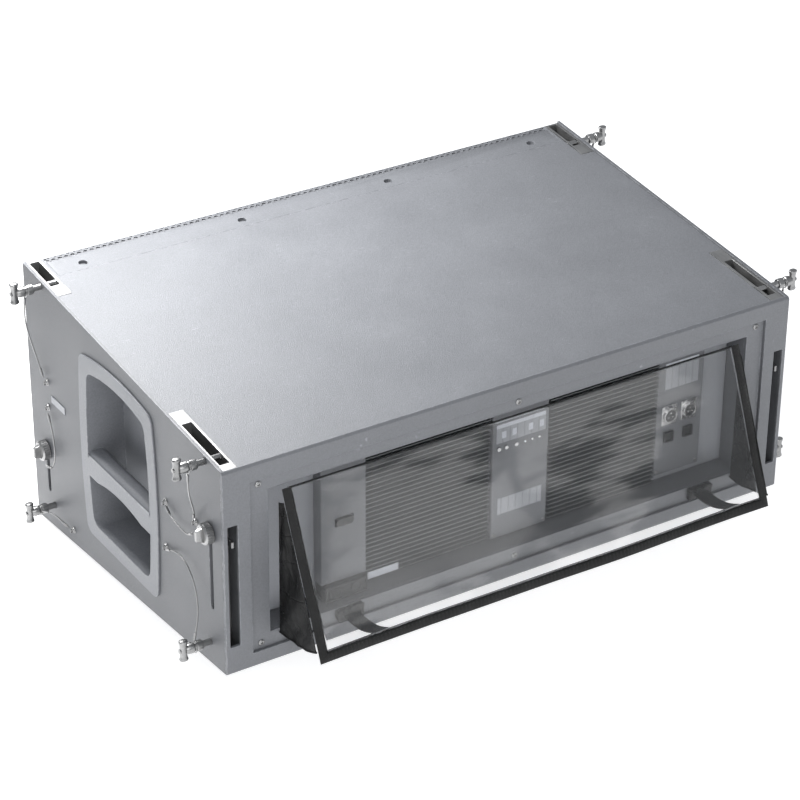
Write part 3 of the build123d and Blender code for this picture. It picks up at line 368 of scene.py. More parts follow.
def make_weave():
    """Plain weave: two crossed sets of threads."""
    group, given, result = new_group("plain_weave", [("Threads", 1400.0)],
                                     [("Height", "Float"), ("Tone", "Float")])
    where = node(group, "TexCoord").outputs["Object"]
    bands = []
    for way in ("X", "DIAGONAL"):
        bands.append(node(group, "TexWave", {"bands_direction": way}, Vector=where, Scale=given.outputs[0],
                          Distortion=0.6))
    height = maths(group, "MAXIMUM", bands[0].outputs["Fac"], bands[1].outputs["Fac"])
    group.links.new(height, result.inputs["Height"])
    cloud = node(group, "TexNoise", Vector=where, Scale=40.0, Detail=5.0)
    group.links.new(spread(group, cloud.outputs["Fac"], 0.3, 0.7), result.inputs["Tone"])
    return group


GRAIN, HANDLING, EDGE_RUB_AND_HIGHLIGHT, WEAVE = make_grain(), make_handling(), make_edge_rub_and_highlight(), make_weave()
print("groups", [g.name for g in (GRAIN, HANDLING, EDGE_RUB_AND_HIGHLIGHT, WEAVE)])


def use(tree, group, **inputs):
    """Place a group in a material."""
    made = tree.nodes.new("ShaderNodeGroup")
    made.node_tree = group
    for key, value in inputs.items():
        made.inputs[key.replace("_", " ")].default_value = value
    return made


def new_material(name, **constants):
    """A material with a cleared tree, one Principled shader and its output."""
    material = bpy.data.materials.new(name)
    material.use_nodes = True
    tree = material.node_tree
    shader = tree.nodes["Principled BSDF"]
    for key, value in constants.items():
        shader.inputs[key.replace("_", " ")].default_value = value
    return material, tree, shader


def bump(tree, shader, height, distance, strength=1.0):
    """Feed a height into the shader's normal."""
    made = node(tree, "Bump", Height=height, Distance=distance, Strength=strength)
    tree.links.new(made.outputs[0], shader.inputs["Normal"])


# %% [markdown]
# ## Paints and metals
# The cabinet's wood is sprayed with a tough textured paint; the steel and aluminium are powder coated, which
# is finer. Both are the same recipe with other numbers: a grain for bump and tone, clouds and scratches for
# the roughness, and paler corners, partly rubbed wear and partly a painted highlight where edges catch light.

# %% Painted finishes
COOL = (0.955, 0.985, 1.06)
# The pale grey of the corners: rubbed wear and a painted highlight where edges catch light.
RUB_AND_HIGHLIGHT_GREY = 0.62
SCRATCH_GREY = 0.5


def paint(name, dark, light, grain=900.0, depth=0.0004, rough=(0.42, 0.6), wear_and_highlight=0.3, reach=0.0018):
    """A sprayed or powder coated surface."""
    material, tree, shader = new_material(name)
    grains = use(tree, GRAIN, Scale=grain)
    marks = use(tree, HANDLING)
    corners = use(tree, EDGE_RUB_AND_HIGHLIGHT, Reach=reach)
    tone = maths(tree, "ADD", maths(tree, "MULTIPLY", grains.outputs["Tone"], 0.55),
                 maths(tree, "MULTIPLY", marks.outputs["Cloud"], 0.45))
    base = blend_colour(tree, tone, grey(dark, COOL), grey(light, COOL))
    # Paler corners: partly rubbed wear, partly a painted highlight where edges catch light.
    edge = maths(tree, "MULTIPLY", corners.outputs["Mask"], wear_and_highlight)
    rub_and_highlight_colour = blend_colour(tree, edge, base, grey(RUB_AND_HIGHLIGHT_GREY, COOL))
    scratch = maths(tree, "MULTIPLY", marks.outputs["Scratch"], 0.35)
    marked = blend_colour(tree, scratch, rub_and_highlight_colour, grey(SCRATCH_GREY, COOL))
    tree.links.new(marked, shader.inputs["Base Color"])
    tree.links.new(spread(tree, marks.outputs["Cloud"], 0.0, 1.0, *rough), shader.inputs["Roughness"])
    bump(tree, shader, grains.outputs["Height"], depth)
    return material


def metal(name, dark, light, rough=(0.2, 0.4), stretch=(1.0, 1.0, 1.0), scale=500.0, tint=(1.0, 1.0, 1.0)):
    """Bare or plated metal with a fine directional grain."""
    material, tree, shader = new_material(name, Metallic=1.0)
    where = node(tree, "TexCoord").outputs["Object"]
    drawn = node(tree, "Mapping", Vector=where, Scale=stretch)
    lines = node(tree, "TexNoise", Vector=drawn.outputs[0], Scale=scale, Detail=4.0)
    marks = use(tree, HANDLING, Cloud_Scale=22.0)
    tone = maths(tree, "ADD", maths(tree, "MULTIPLY", lines.outputs["Fac"], 0.5),
                 maths(tree, "MULTIPLY", marks.outputs["Cloud"], 0.5))
    tree.links.new(blend_colour(tree, tone, grey(dark, tint), grey(light, tint)), shader.inputs["Base Color"])
    tree.links.new(spread(tree, tone, 0.2, 0.8, *rough), shader.inputs["Roughness"])
    bump(tree, shader, lines.outputs["Fac"], 0.0001, 0.6)
    return material


CABINET = paint("cabinet_paint", 0.15, 0.20, grain=1100.0, depth=0.00035, rough=(0.36, 0.5))
STEEL = paint("steel_paint", 0.112, 0.148, grain=1500.0, depth=0.0002, rough=(0.38, 0.5), wear_and_highlight=0.45)
BEZEL = paint("frame_paint", 0.15, 0.19, grain=1300.0, depth=0.00025, rough=(0.34, 0.46), wear_and_highlight=0.4)
HANDLE = paint("handle_plastic", 0.19, 0.25, grain=1100.0, depth=0.0003, rough=(0.34, 0.48), wear_and_highlight=0.35)
PANEL = paint("panel_paint", 0.17, 0.22, grain=1500.0, depth=0.0002, rough=(0.4, 0.55), wear_and_highlight=0.35,
              reach=0.001)
# The chassis paint is the panel paint made lighter: painted light for the chassis strips lit through the
# clear vinyl.
LIT_AMP_PAINT = paint("chassis_lit_paint", 0.34, 0.44, grain=1500.0, depth=0.0001, rough=(0.35, 0.5), wear_and_highlight=0.2,
                reach=0.001)
HORN = paint("horn_plastic", 0.02, 0.035, grain=700.0, depth=0.0003, rough=(0.45, 0.6), wear_and_highlight=0.0)
BLACK = paint("switch_black", 0.012, 0.02, grain=1800.0, depth=0.0001, rough=(0.3, 0.45), wear_and_highlight=0.1,
              reach=0.0006)
ZINC = metal("zinc_steel", 0.2, 0.42, rough=(0.22, 0.4))
BRACKET_ZINC = metal("bracket_zinc", 0.24, 0.4, rough=(0.42, 0.6), stretch=(1.0, 0.1, 1.0))
KNOB = metal("knob_metal", 0.22, 0.42, rough=(0.24, 0.4))
ROPE = metal("wire_rope", 0.22, 0.45, rough=(0.3, 0.5), scale=1500.0)
FINS = metal("heat_sink_metal", 0.13, 0.2, rough=(0.5, 0.65), stretch=(0.05, 1.0, 1.0),
             tint=(0.94, 1.0, 1.03))
CONTACT = metal("connector_metal", 0.4, 0.7, rough=(0.16, 0.3))
IRON = metal("motor_iron", 0.12, 0.22, rough=(0.4, 0.6))

# %% [markdown]
# ## Wood, foam, paper, rubber, board and vinyl
# These are seen inside the case, through the grille or through the rain hood. Each has the detail that tells
# it apart: plies in the wood, open cells in the foam, fibres in the cone, tracks on the board.

# %% Other finishes
def make_plywood():
    """Birch plywood: thin plies across its thickness and a long grain."""
    material, tree, shader = new_material("plywood", Roughness=0.6)
    where = node(tree, "TexCoord").outputs["Object"]
    plies = node(tree, "TexWave", {"bands_direction": "Z"}, Vector=where, Scale=110.0, Distortion=0.4)
    long_way = node(tree, "Mapping", Vector=where, Scale=(0.15, 1.0, 1.0))
    veins = node(tree, "TexNoise", Vector=long_way.outputs[0], Scale=70.0, Detail=8.0)
    tone = maths(tree, "MULTIPLY", maths(tree, "ADD", plies.outputs["Fac"], veins.outputs["Fac"]), 0.5)
    colour = blend_colour(tree, tone, (0.30, 0.18, 0.09, 1), (0.62, 0.46, 0.28, 1))
    tree.links.new(colour, shader.inputs["Base Color"])
    bump(tree, shader, veins.outputs["Fac"], 0.0003)
    return material


def make_foam():
    """Open-cell foam: many small dark pores."""
    material, tree, shader = new_material("foam", Roughness=0.95)
    where = node(tree, "TexCoord").outputs["Object"]
    pores = node(tree, "TexVoronoi", Vector=where, Scale=620.0)
    cells = spread(tree, pores.outputs["Distance"], 0.1, 0.5)
    tree.links.new(blend_colour(tree, cells, grey(0.006), grey(0.03)), shader.inputs["Base Color"])
    bump(tree, shader, cells, 0.001)
    return material


def make_paper():
    """Pressed pulp cone: matt, with random fibres."""
    material, tree, shader = new_material("cone_paper", Roughness=0.8)
    where = node(tree, "TexCoord").outputs["Object"]
    fibre = node(tree, "TexNoise", Vector=where, Scale=420.0, Detail=10.0, Roughness=0.75)
    colour = blend_colour(tree, fibre.outputs["Fac"], grey(0.012), grey(0.05))
    tree.links.new(colour, shader.inputs["Base Color"])
    bump(tree, shader, fibre.outputs["Fac"], 0.0004)
    return material


def make_rubber():
    """Butyl rubber with a faint bloom."""
    material, tree, shader = new_material("surround_rubber")
    marks = use(tree, HANDLING, Cloud_Scale=30.0)
    colour = blend_colour(tree, marks.outputs["Cloud"], grey(0.012), grey(0.03))
    tree.links.new(colour, shader.inputs["Base Color"])
    tree.links.new(spread(tree, marks.outputs["Cloud"], 0.0, 1.0, 0.4, 0.6), shader.inputs["Roughness"])
    return material


def make_board():
    """Circuit board: green varnish over a grid of tracks."""
    material, tree, shader = new_material("board_green", Roughness=0.35)
    where = node(tree, "TexCoord").outputs["Object"]
    tracks = node(tree, "TexBrick", Vector=where, Scale=30.0, Mortar_Size=0.02)
    colour = blend_colour(tree, tracks.outputs["Fac"], (0.01, 0.09, 0.035, 1), (0.05, 0.2, 0.09, 1))
    tree.links.new(colour, shader.inputs["Base Color"])
    bump(tree, shader, tracks.outputs["Fac"], 0.0001)
    return material


def make_vinyl():
    """Clear flexible vinyl: glassy, slightly rippled and smoky."""
    material, tree, shader = new_material("clear_vinyl", IOR=1.52, Roughness=0.06)
    shader.inputs["Transmission Weight"].default_value = 1.0
    where = node(tree, "TexCoord").outputs["Object"]
    stretch = node(tree, "Mapping", Vector=where, Scale=(1.0, 2.0, 2.6))
    ripple = node(tree, "TexNoise", Vector=stretch.outputs[0], Scale=7.0, Detail=2.0)
    colour = blend_colour(tree, ripple.outputs["Fac"], grey(0.86), grey(0.97))
    tree.links.new(colour, shader.inputs["Base Color"])
    bump(tree, shader, ripple.outputs["Fac"], 0.0012, 0.6)
    return material


def make_fabric(name, dark, light, rough):
    """Coated woven tape and cloth."""
    material, tree, shader = new_material(name, Specular_IOR_Level=0.3)
    weave = use(tree, WEAVE)
    marks = use(tree, HANDLING, Cloud_Scale=35.0)
    colour = blend_colour(tree, weave.outputs["Tone"], grey(dark), grey(light))
    tree.links.new(colour, shader.inputs["Base Color"])
    tree.links.new(spread(tree, marks.outputs["Cloud"], 0.0, 1.0, *rough), shader.inputs["Roughness"])
    bump(tree, shader, weave.outputs["Height"], 0.0002, 0.7)
    return material


def make_label():
    """A printed film: pale ground with blank grey fields and a fine rule, no lettering."""
    material, tree, shader = new_material("label_film", Roughness=0.4)
    where = node(tree, "TexCoord").outputs["Object"]
    fields = node(tree, "TexBrick", Vector=where, Scale=42.0, Mortar_Size=0.03)
    cloud = node(tree, "TexNoise", Vector=where, Scale=60.0, Detail=3.0)
    tone = maths(tree, "MULTIPLY", fields.outputs["Fac"], cloud.outputs["Fac"])
    tree.links.new(blend_colour(tree, tone, grey(0.42, COOL), grey(0.16, COOL)), shader.inputs["Base Color"])
    return material


PLYWOOD, FOAM, PAPER, RUBBER = make_plywood(), make_foam(), make_paper(), make_rubber()
BOARD, VINYL, LABEL = make_board(), make_vinyl(), make_label()
BINDING = make_fabric("binding_fabric", 0.006, 0.014, (0.28, 0.5))
GUSSET = make_fabric("gusset_fabric", 0.005, 0.016, (0.2, 0.42))
THREAD = make_fabric("stitch_thread", 0.02, 0.05, (0.5, 0.7))
print("materials", len(bpy.data.materials))

# %% [markdown]
# ## Wire lanyards
# Each lock pin and knob is tied to the side plate by a short wire rope, so that it cannot be lost. The rope's
# route is one smooth NURBS spline through the same points as the CAD tube. The rope itself is a mesh that
# follows points read from that spline. Its section has six lobes and turns as it goes along, which reads as
# six twisted strands at a fraction of the faces. It is a mesh and not a curve.

# %% Lanyard routes
PLATE_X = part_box("side_plates")[1].x
ROPE_D = 0.0022
# Distance outside the side plate, y and z of each route point, in metres, on the right-hand side.
ROUTES = {
    "lanyard_rear_top": [(0.025, 0.240, 0.324), (0.025, 0.239, 0.308), (0.022, 0.236, 0.286),
                         (0.014, 0.229, 0.264), (0.007, 0.220, 0.247), (0.0042, 0.212, 0.233)],
    "lanyard_rear_knob": [(0.0046, 0.134, 0.212), (0.005, 0.146, 0.204), (0.006, 0.165, 0.201),
                          (0.0085, 0.190, 0.203), (0.013, 0.213, 0.211), (0.0165, 0.2305, 0.224)],
    "lanyard_rear_bottom": [(0.0046, 0.131, 0.140), (0.005, 0.145, 0.148), (0.006, 0.168, 0.156),
                            (0.007, 0.192, 0.155), (0.008, 0.212, 0.140), (0.010, 0.226, 0.119),
                            (0.015, 0.236, 0.098), (0.022, 0.241, 0.078), (0.025, 0.2405, 0.0634)],
    "lanyard_front_top": [(0.025, -0.2285, 0.366), (0.025, -0.232, 0.347), (0.021, -0.242, 0.322),
                          (0.014, -0.250, 0.295), (0.008, -0.248, 0.268), (0.005, -0.239, 0.246),
                          (0.0044, -0.230, 0.230)],
    "lanyard_front_knob": [(0.0046, -0.222, 0.176), (0.005, -0.211, 0.158), (0.006, -0.203, 0.137),
                           (0.007, -0.199, 0.116), (0.0095, -0.202, 0.100), (0.0125, -0.209, 0.0935),
                           (0.015, -0.2170, 0.0965)],
    "lanyard_front_bottom": [(0.025, -0.218, 0.0215), (0.021, -0.206, 0.025), (0.014, -0.195, 0.022),
                             (0.008, -0.185, 0.014), (0.0046, -0.173, 0.010)],
}
# The body each rope is tied to, and whether its route starts there.
TIED_TO = {"lanyard_rear_top": ("pin_rear_top", True), "lanyard_rear_knob": ("link_rear", False),
           "lanyard_rear_bottom": ("pin_rear_bottom", False), "lanyard_front_top": ("pin_front_top", True),
           "lanyard_front_knob": ("link_front", False), "lanyard_front_bottom": ("pin_front_bottom", True)}


def route_line(name, points):
    """Points along the smooth spline through a route."""
    curve = bpy.data.curves.new(name + "_route", "CURVE")
    curve.dimensions = "3D"
    spline = curve.splines.new("NURBS")
    spline.points.add(len(points) - 1)
    for point, place in zip(spline.points, points):
        point.co = (*place, 1.0)
    spline.order_u = 3
    spline.use_endpoint_u = True
    spline.resolution_u = 16
    holder = bpy.data.objects.new(name + "_route", curve)
    mesh = bpy.data.meshes.new_from_object(holder)
    line = [v.co.copy() for v in mesh.vertices]
    bpy.data.objects.remove(holder)
    bpy.data.meshes.remove(mesh)
    bpy.data.curves.remove(curve)
    return line


def evenly(line, step):
    """The same line with points a fixed step apart."""
    spaced, left = [line[0].copy()], step
    for a, b in zip(line, line[1:]):
        run, at = (b - a).length, 0.0
        while run - at >= left:
            at += left
            spaced.append(a.lerp(b, at / run))
            left = step
        left -= run - at
    spaced.append(line[-1].copy())
    return spaced


def framed(line):
    """Each point of a line with two directions square to it that do not twist."""
    frames, side = [], None
    for i, point in enumerate(line):
        ahead = (line[min(i + 1, len(line) - 1)] - line[max(i - 1, 0)]).normalized()
        if side is None:
            side = ahead.orthogonal().normalized()
        side = (side - ahead * side.dot(ahead)).normalized()
        frames.append((point, side, ahead.cross(side)))
    return frames


def mesh_piece(name, points, faces):
    """An object from points and faces."""
    mesh = bpy.data.meshes.new(name)
    mesh.from_pydata([tuple(p) for p in points], [], faces)
    piece = bpy.data.objects.new(name, mesh)
    bpy.context.scene.collection.objects.link(piece)
    return piece


def grid_piece(name, rows):
    """A surface over equal rows of points, open at its edges."""
    width = len(rows[0])
    faces = [(i * width + j, i * width + j + 1, (i + 1) * width + j + 1, (i + 1) * width + j)
             for i in range(len(rows) - 1) for j in range(width - 1)]
    return mesh_piece(name, [point for row in rows for point in row], faces)


def skin(name, rings):
    """A surface over equal rings of points, closed round and at its ends."""
    count = len(rings[0])
    points = [p for ring in rings for p in ring]
    faces = []
    for r in range(len(rings) - 1):
        for k in range(count):
            a, b = r * count + k, r * count + (k + 1) % count
            faces.append((a, b, b + count, a + count))
    faces.append(tuple(reversed(range(count))))
    faces.append(tuple(range((len(rings) - 1) * count, len(rings) * count)))
    piece = tidy_mesh(mesh_piece(name, points, faces))
    only(piece)
    bpy.ops.object.shade_smooth_by_angle(angle=radians(70))
    return piece


def twisted_rope(name, line, diameter, lobes=6, pitch=0.013, step=0.0011):
    """A laid rope round a line."""
    rings, gone, previous = [], 0.0, line[0]
    for point, side, up in framed(evenly(line, step)):
        gone += (point - previous).length
        previous = point
        ring = []
        for k in range(lobes * 3):
            angle = 2 * pi * k / (lobes * 3)
            swell = 0.84 + 0.20 * abs(cos(lobes * angle / 2))
            turn = angle + 2 * pi * gone / pitch
            ring.append(point + (side * cos(turn) + up * sin(turn)) * diameter / 2 * swell)
        rings.append(ring)
    return skin(name, rings)


def sleeve(name, line, start, length, radius, steps=12, sides=14):
    """A crimped sleeve on a line: oval where the tool squeezed it, belled at its ends."""
    spaced = evenly(line, length / steps)
    first = int(start / (length / steps))
    rings = []
    for i, (point, side, up) in enumerate(framed(spaced[first:first + steps + 1])):
        t = i / steps
        squeeze = 1.0 - 0.16 * (sin(3 * pi * t) ** 2) if 0.08 < t < 0.92 else 0.86
        rings.append([point + side * cos(2 * pi * k / sides) * radius * (2 - squeeze) +
                      up * sin(2 * pi * k / sides) * radius * squeeze for k in range(sides)])
    return skin(name, rings)


# %% Lay the lanyards
SLEEVE_LENGTH = 0.011
SLEEVE_START = 0.003
SLEEVE_RADIUS = 0.0019
rope_total = 0.0
for side, sign in SIDES.items():
    for name, route in ROUTES.items():
        points = [(sign * (PLATE_X + out), y, z) for out, y, z in route]
        line = route_line(name, points)
        full = f"{name}_{side}"
        rope = twisted_rope(full + "_rope", line, ROPE_D)
        tied, starts_there = TIED_TO[name]
        body = f"{tied}_{side}"
        for end, at_body in (("first", starts_there), ("last", not starts_there)):
            ordered = line if end == "first" else list(reversed(line))
            piece = sleeve(f"{full}_sleeve_{end}", ordered, SLEEVE_START, SLEEVE_LENGTH, SLEEVE_RADIUS)
            dress(piece, piece.name, ZINC, body if at_body else "root")
        dress(rope, rope.name, ROPE, None, [full])
        near, far = (line[-1], line[0]) if starts_there else (line[0], line[-1])
        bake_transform(rope)
        length = sum((b - a).length for a, b in zip(line, line[1:]))
        rope_total += length
print("lanyards", len(SIDES) * len(ROUTES), "total metres", round(rope_total, 3))

# %% [markdown]
# ## Case panels and frames
# Steel and cast parts have softened edges in real life, and those edges catch the light. The CAD shapes are
# right, so each is copied, its triangles are merged back into whole faces, and a Bevel modifier is applied.
# The copy stands in for the CAD piece.

# %% Case panels with softened edges
# CAD node: finish, slot, edge radius
EASED = {
    "side_plates": (STEEL, "steel_paint", 0.0007),
    "slot_brackets": (BRACKET_ZINC, "zinc_steel", 0.0007),
    "rear_frame": (BEZEL, "frame_paint", 0.0009),
    "hood_mount_frame": (BEZEL, "frame_paint", 0.0008),
    "handles": (HANDLE, "handle_plastic", 0.0010),
    "control_plate": (PANEL, "panel_paint", 0.0008),
    "power_module": (PANEL, "panel_paint", 0.0008),
    "input_panel": (PANEL, "panel_paint", 0.0006),
    # The amplifier chassis gets the lighter copy of the panel paint, with painted light.
    "amp_chassis": (LIT_AMP_PAINT, "panel_paint", 0.0005),
    "heat_sinks": (FINS, "heat_sink_metal", 0.0003),
}
for cad_name, (finish, slot_name, width) in EASED.items():
    piece = eased_copy(cad_name, width)
    dress(piece, cad_name + "_eased", finish, "root", [cad_name])
    print(piece.name, len(piece.data.polygons), "faces")

for side in SIDES:
    for end in ("front", "rear"):
        piece = eased_copy(f"link_{end}_{side}", 0.0008)
        dress(piece, f"link_{end}_{side}_eased", BRACKET_ZINC, f"link_{end}_{side}",
              [f"link_{end}_{side}"])
rocker = eased_copy("power_switch", 0.0006)
dress(rocker, "power_switch_eased", BLACK, "power_switch", ["power_switch"])

# %% [markdown]
# ## Finishes for the pieces that keep their CAD shape
# Inner pieces are hardly seen, so they keep their CAD meshes and only get a finish. So do the top and bottom
# panels: a softened copy of the top panel rendered with a dark diagonal band whose cause was not found.
# Assigning to the material slots leaves the mesh itself alone.

# %% Finishes on CAD nodes
KEPT = {"top_panel": CABINET, "bottom_panel": CABINET, "side_panels": CABINET, "front_baffle": CABINET,
        "chamber_walls": PLYWOOD, "electronics_bay": CABINET, "woofer_motors": IRON, "waveguide": HORN,
        "compression_driver": IRON, "amplifier_board": BOARD, "woofer_cone_right": PAPER,
        "woofer_cone_left": PAPER}
for cad_name, finish in KEPT.items():
    for material_slot in frame["nodes"][cad_name].material_slots:
        material_slot.material = finish
print("kept CAD nodes", len(KEPT))

# %% [markdown]
# ## Lock pins
# A quick-release pin is a shaft with two locking balls, a collar, and a T grip with a push button in its
# middle. The shaft and collar are one turned piece. The grip starts as a box whose two ends are extruded and
# widened, and a Subdivision Surface rounds it as a casting is rounded. One pin is modelled at the place of
# the rear top pin on the right, and the others are copies.

# %% One lock pin
rear_pin_low, rear_pin_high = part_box("pin_rear_top_right")
PIN_Y = (rear_pin_low.y + rear_pin_high.y) / 2
PIN_Z = (rear_pin_low.z + rear_pin_high.z) / 2
GRIP_X = PLATE_X + 0.036
PIN_END_X = rear_pin_high.x
SHAFT_R = 0.0045


def make_pin():
    """Shaft, collar and grip of one lock pin."""
    at = (0, PIN_Y, PIN_Z)
    shaft = turned("X", at, [(rear_pin_low.x, 0.0034), (rear_pin_low.x + 0.002, SHAFT_R),
                             (PLATE_X + 0.013, SHAFT_R), (PLATE_X + 0.013, 0.0068),
                             (PLATE_X + 0.0145, 0.0075), (PLATE_X + 0.022, 0.0075),
                             (PLATE_X + 0.023, 0.0062), (PLATE_X + 0.026, 0.0062), (PLATE_X + 0.027, 0.0075),
                             (PLATE_X + 0.033, 0.0075), (GRIP_X + 0.002, 0.0058)])
    soften(shaft, 0.0003)
    grip = slab((GRIP_X - 0.001, PIN_Y - 0.0042, PIN_Z - 0.006),
                (PIN_END_X - 0.001, PIN_Y + 0.0042, PIN_Z + 0.006))
    for way in (1, -1):
        open_with(grip, lambda centre, normal: normal.z * way > 0.9)
        for rise, wide in ((0.004, 1.05), (0.004, 1.38), (0.0026, 0.7)):
            bpy.ops.mesh.extrude_region_move(TRANSFORM_OT_translate={"value": (0, 0, way * rise)})
            bpy.ops.transform.resize(value=(wide, wide, 1.0),
                                     center_override=((GRIP_X + PIN_END_X) / 2 - 0.001, PIN_Y, PIN_Z))
        close()
    use_modifier(grip, "SUBSURF", levels=2, render_levels=2)
    smooth(grip)
    button = turned("X", at, [(PIN_END_X - 0.003, 0.0032), (PIN_END_X - 0.0004, 0.0032),
                              (PIN_END_X, 0.0024)], 20)
    soften(button, 0.0003)
    balls = []
    for way in (1, -1):
        bpy.ops.object.select_all(action="DESELECT")
        bpy.ops.mesh.primitive_uv_sphere_add(segments=12, ring_count=8, radius=0.0015,
                                             location=(rear_pin_low.x + 0.005, PIN_Y + way * 0.004, PIN_Z))
        balls.append(settle(bpy.context.object))
    bpy.ops.object.select_all(action="DESELECT")
    bpy.ops.mesh.primitive_torus_add(major_radius=0.0072, minor_radius=0.0007,
                                     major_segments=28, minor_segments=8,
                                     location=(PLATE_X + 0.0245, PIN_Y, PIN_Z - 0.0012), rotation=TURNS["X"])
    ring = smooth(settle(bpy.context.object))
    return joined(button, ring, *balls, grip, shaft)


pin = make_pin()
for side in SIDES:
    for end in ("front", "rear"):
        for level_name in ("top", "bottom"):
            body = f"pin_{end}_{level_name}_{side}"
            low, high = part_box(body)
            middle = (low + high) / 2
            copy = another(pin, body + "_detailed", (0, middle.y - PIN_Y, middle.z - PIN_Z), side == "left")
            dress(copy, copy.name, ZINC, body, [body])
bpy.data.objects.remove(pin)

# %% [markdown]
# ## Link knobs
# A knob locks its link. Its rim is knurled by insetting and pulling in every other side face, and a wing
# stands on its face for the fingers.

# %% One knob
knob_low, knob_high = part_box("knob_rear_right")
KNOB_R = (knob_high.y - knob_low.y) / 2
KNOB_Y, KNOB_Z = knob_low.y + KNOB_R, knob_low.z + KNOB_R
KNOB_FACE = PLATE_X + 0.013
KNURLS = 48


def make_knob():
    """A knurled knob with a wing and its stud."""
    at = (0, KNOB_Y, KNOB_Z)
    disc = turned("X", at, [(PLATE_X + 0.001, KNOB_R * 0.9), (PLATE_X + 0.002, KNOB_R),
                            (KNOB_FACE - 0.002, KNOB_R), (KNOB_FACE, KNOB_R * 0.86),
                            (KNOB_FACE, KNOB_R * 0.72), (KNOB_FACE - 0.001, KNOB_R * 0.66)], KNURLS)
    spot = Vector((PLATE_X + 0.0065, KNOB_Y, KNOB_Z))

    def every_other(centre, normal):
        """Side faces of the rim, one in two."""
        angle = atan2(centre.z - spot.z, centre.y - spot.y)
        return abs(normal.x) < 0.2 and int(round((angle / (2 * pi)) * KNURLS - 0.5)) % 2 == 0
    open_with(disc, every_other)
    bpy.ops.mesh.inset(thickness=0.0003, use_individual=True)
    bpy.ops.transform.resize(value=(1.0, 0.95, 0.95), center_override=spot)
    close()
    soften(disc, 0.0003)
    wing = slab((KNOB_FACE - 0.002, KNOB_Y - 0.0035, KNOB_Z - 0.011),
                (knob_high.x, KNOB_Y + 0.0035, KNOB_Z + 0.011))
    open_with(wing, lambda centre, normal: normal.x > 0.9)
    bpy.ops.transform.resize(value=(1.0, 0.72, 0.72), center_override=(knob_high.x, KNOB_Y, KNOB_Z))
    close()
    soften(wing, 0.0012, 3)
    stud = turned("X", at, [(knob_low.x, 0.004), (PLATE_X + 0.0015, 0.004), (PLATE_X + 0.0015, 0.007),
                            (PLATE_X + 0.002, 0.007)], 24)
    return joined(wing, stud, disc)


knob = make_knob()
for side in SIDES:
    for end in ("front", "rear"):
        node_name = f"knob_{end}_{side}"
        low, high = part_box(node_name)
        copy = another(knob, node_name + "_detailed",
                       (0, (low.y + high.y) / 2 - KNOB_Y, (low.z + high.z) / 2 - KNOB_Z), side == "left")
        dress(copy, copy.name, KNOB, f"link_{end}_{side}", [node_name])
bpy.data.objects.remove(knob)

# %% [markdown]
# ## Screws and lanyard eyelets
# Each screw has a domed head with a deep round drive. The head is turned once for each direction it can face.
# The lanyard eyelets are riveted discs with a rolled rim and a small loop for the rope.

# %% Screws and eyelets
HANDLE_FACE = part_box("handles")[1].x
# A screw head's stations: height over its seat and radius.
HEAD = [(0.0, 0.0046), (0.0008, 0.0046), (0.0016, 0.0038), (0.0019, 0.0026), (0.0019, 0.0021),
        (0.0004, 0.0019)]
HEAD_SEAT = 0.0032
MID_HEIGHT = (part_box("side_plates")[0].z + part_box("side_plates")[1].z) / 2
HANDLE_Y = (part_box("handles")[0].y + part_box("handles")[1].y) / 2
# Each pair of handle screws: half the distance between them, and their height.
HANDLE_SCREWS = ((0.090, 0.312), (0.099, 0.155), (0.090, 0.052))
heads = []
for half, z in HANDLE_SCREWS:
    for way in (1, -1):
        head = turned("X", (HANDLE_FACE - HEAD_SEAT, HANDLE_Y + way * half, z), HEAD, 20)
        heads.append(soften(head, 0.0002))
handle_screws = joined(*heads)
left_screws = another(handle_screws, "handle_screws_left", mirror=True)
dress(handle_screws, "handle_screws_right", ZINC)
dress(left_screws, "handle_screws_left", ZINC)

FLANGE_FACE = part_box("hood_mount_frame")[1].y
FLANGE_SCREWS_X = (-0.4025, 0.0, 0.4025)
FLANGE_SCREWS_Z = (0.3021, 0.0569)
heads = []
for x in FLANGE_SCREWS_X:
    for z in FLANGE_SCREWS_Z:
        heads.append(soften(turned("Y", (x, FLANGE_FACE, z), HEAD, 20), 0.0002))
dress(joined(*heads), "flange_screws", ZINC, "root", ["screws"])

# Each eyelet's y and z, and its stations: height over the plate and radius.
EYELETS = [(0.127, 0.212), (0.124, 0.140), (0.210, 0.226), (-0.226, 0.223), (-0.227, 0.182), (-0.166, 0.009)]
EYELET = [(0.0, 0.0055), (0.0007, 0.0055), (0.0009, 0.0044), (0.0026, 0.0040), (0.0034, 0.0030),
          (0.0034, 0.0018), (0.0024, 0.0014)]
discs = []
for y, z in EYELETS:
    disc = turned("X", (PLATE_X, y, z), EYELET, 24)
    discs.append(soften(disc, 0.0002))
    bpy.ops.object.select_all(action="DESELECT")
    bpy.ops.mesh.primitive_torus_add(major_radius=0.0030, minor_radius=0.0009,
                                     major_segments=20, minor_segments=8,
                                     location=(PLATE_X + 0.0036, y, z), rotation=(pi / 2, 0, 0.5))
    discs.append(smooth(settle(bpy.context.object)))
eyelets = joined(*discs)
left_eyelets = another(eyelets, "lanyard_eyelets_left", mirror=True)
dress(eyelets, "lanyard_eyelets_right", ZINC)
dress(left_eyelets, "lanyard_eyelets_left", ZINC)
print("eyelets", 2 * len(EYELETS))

# %% [markdown]
# ## Perforated grille
# The grille is a folded steel sheet, punched all over with hexagonal holes. One cell is a hexagon with an
# inset hexagon removed. Two cells are repeated with Array modifiers, the field is cut to the grille's size
# with bisect, and Solidify gives the sheet its thickness. The holes run over the fold onto the top and the
# bottom, then the sheet is plain where it is screwed to the case.

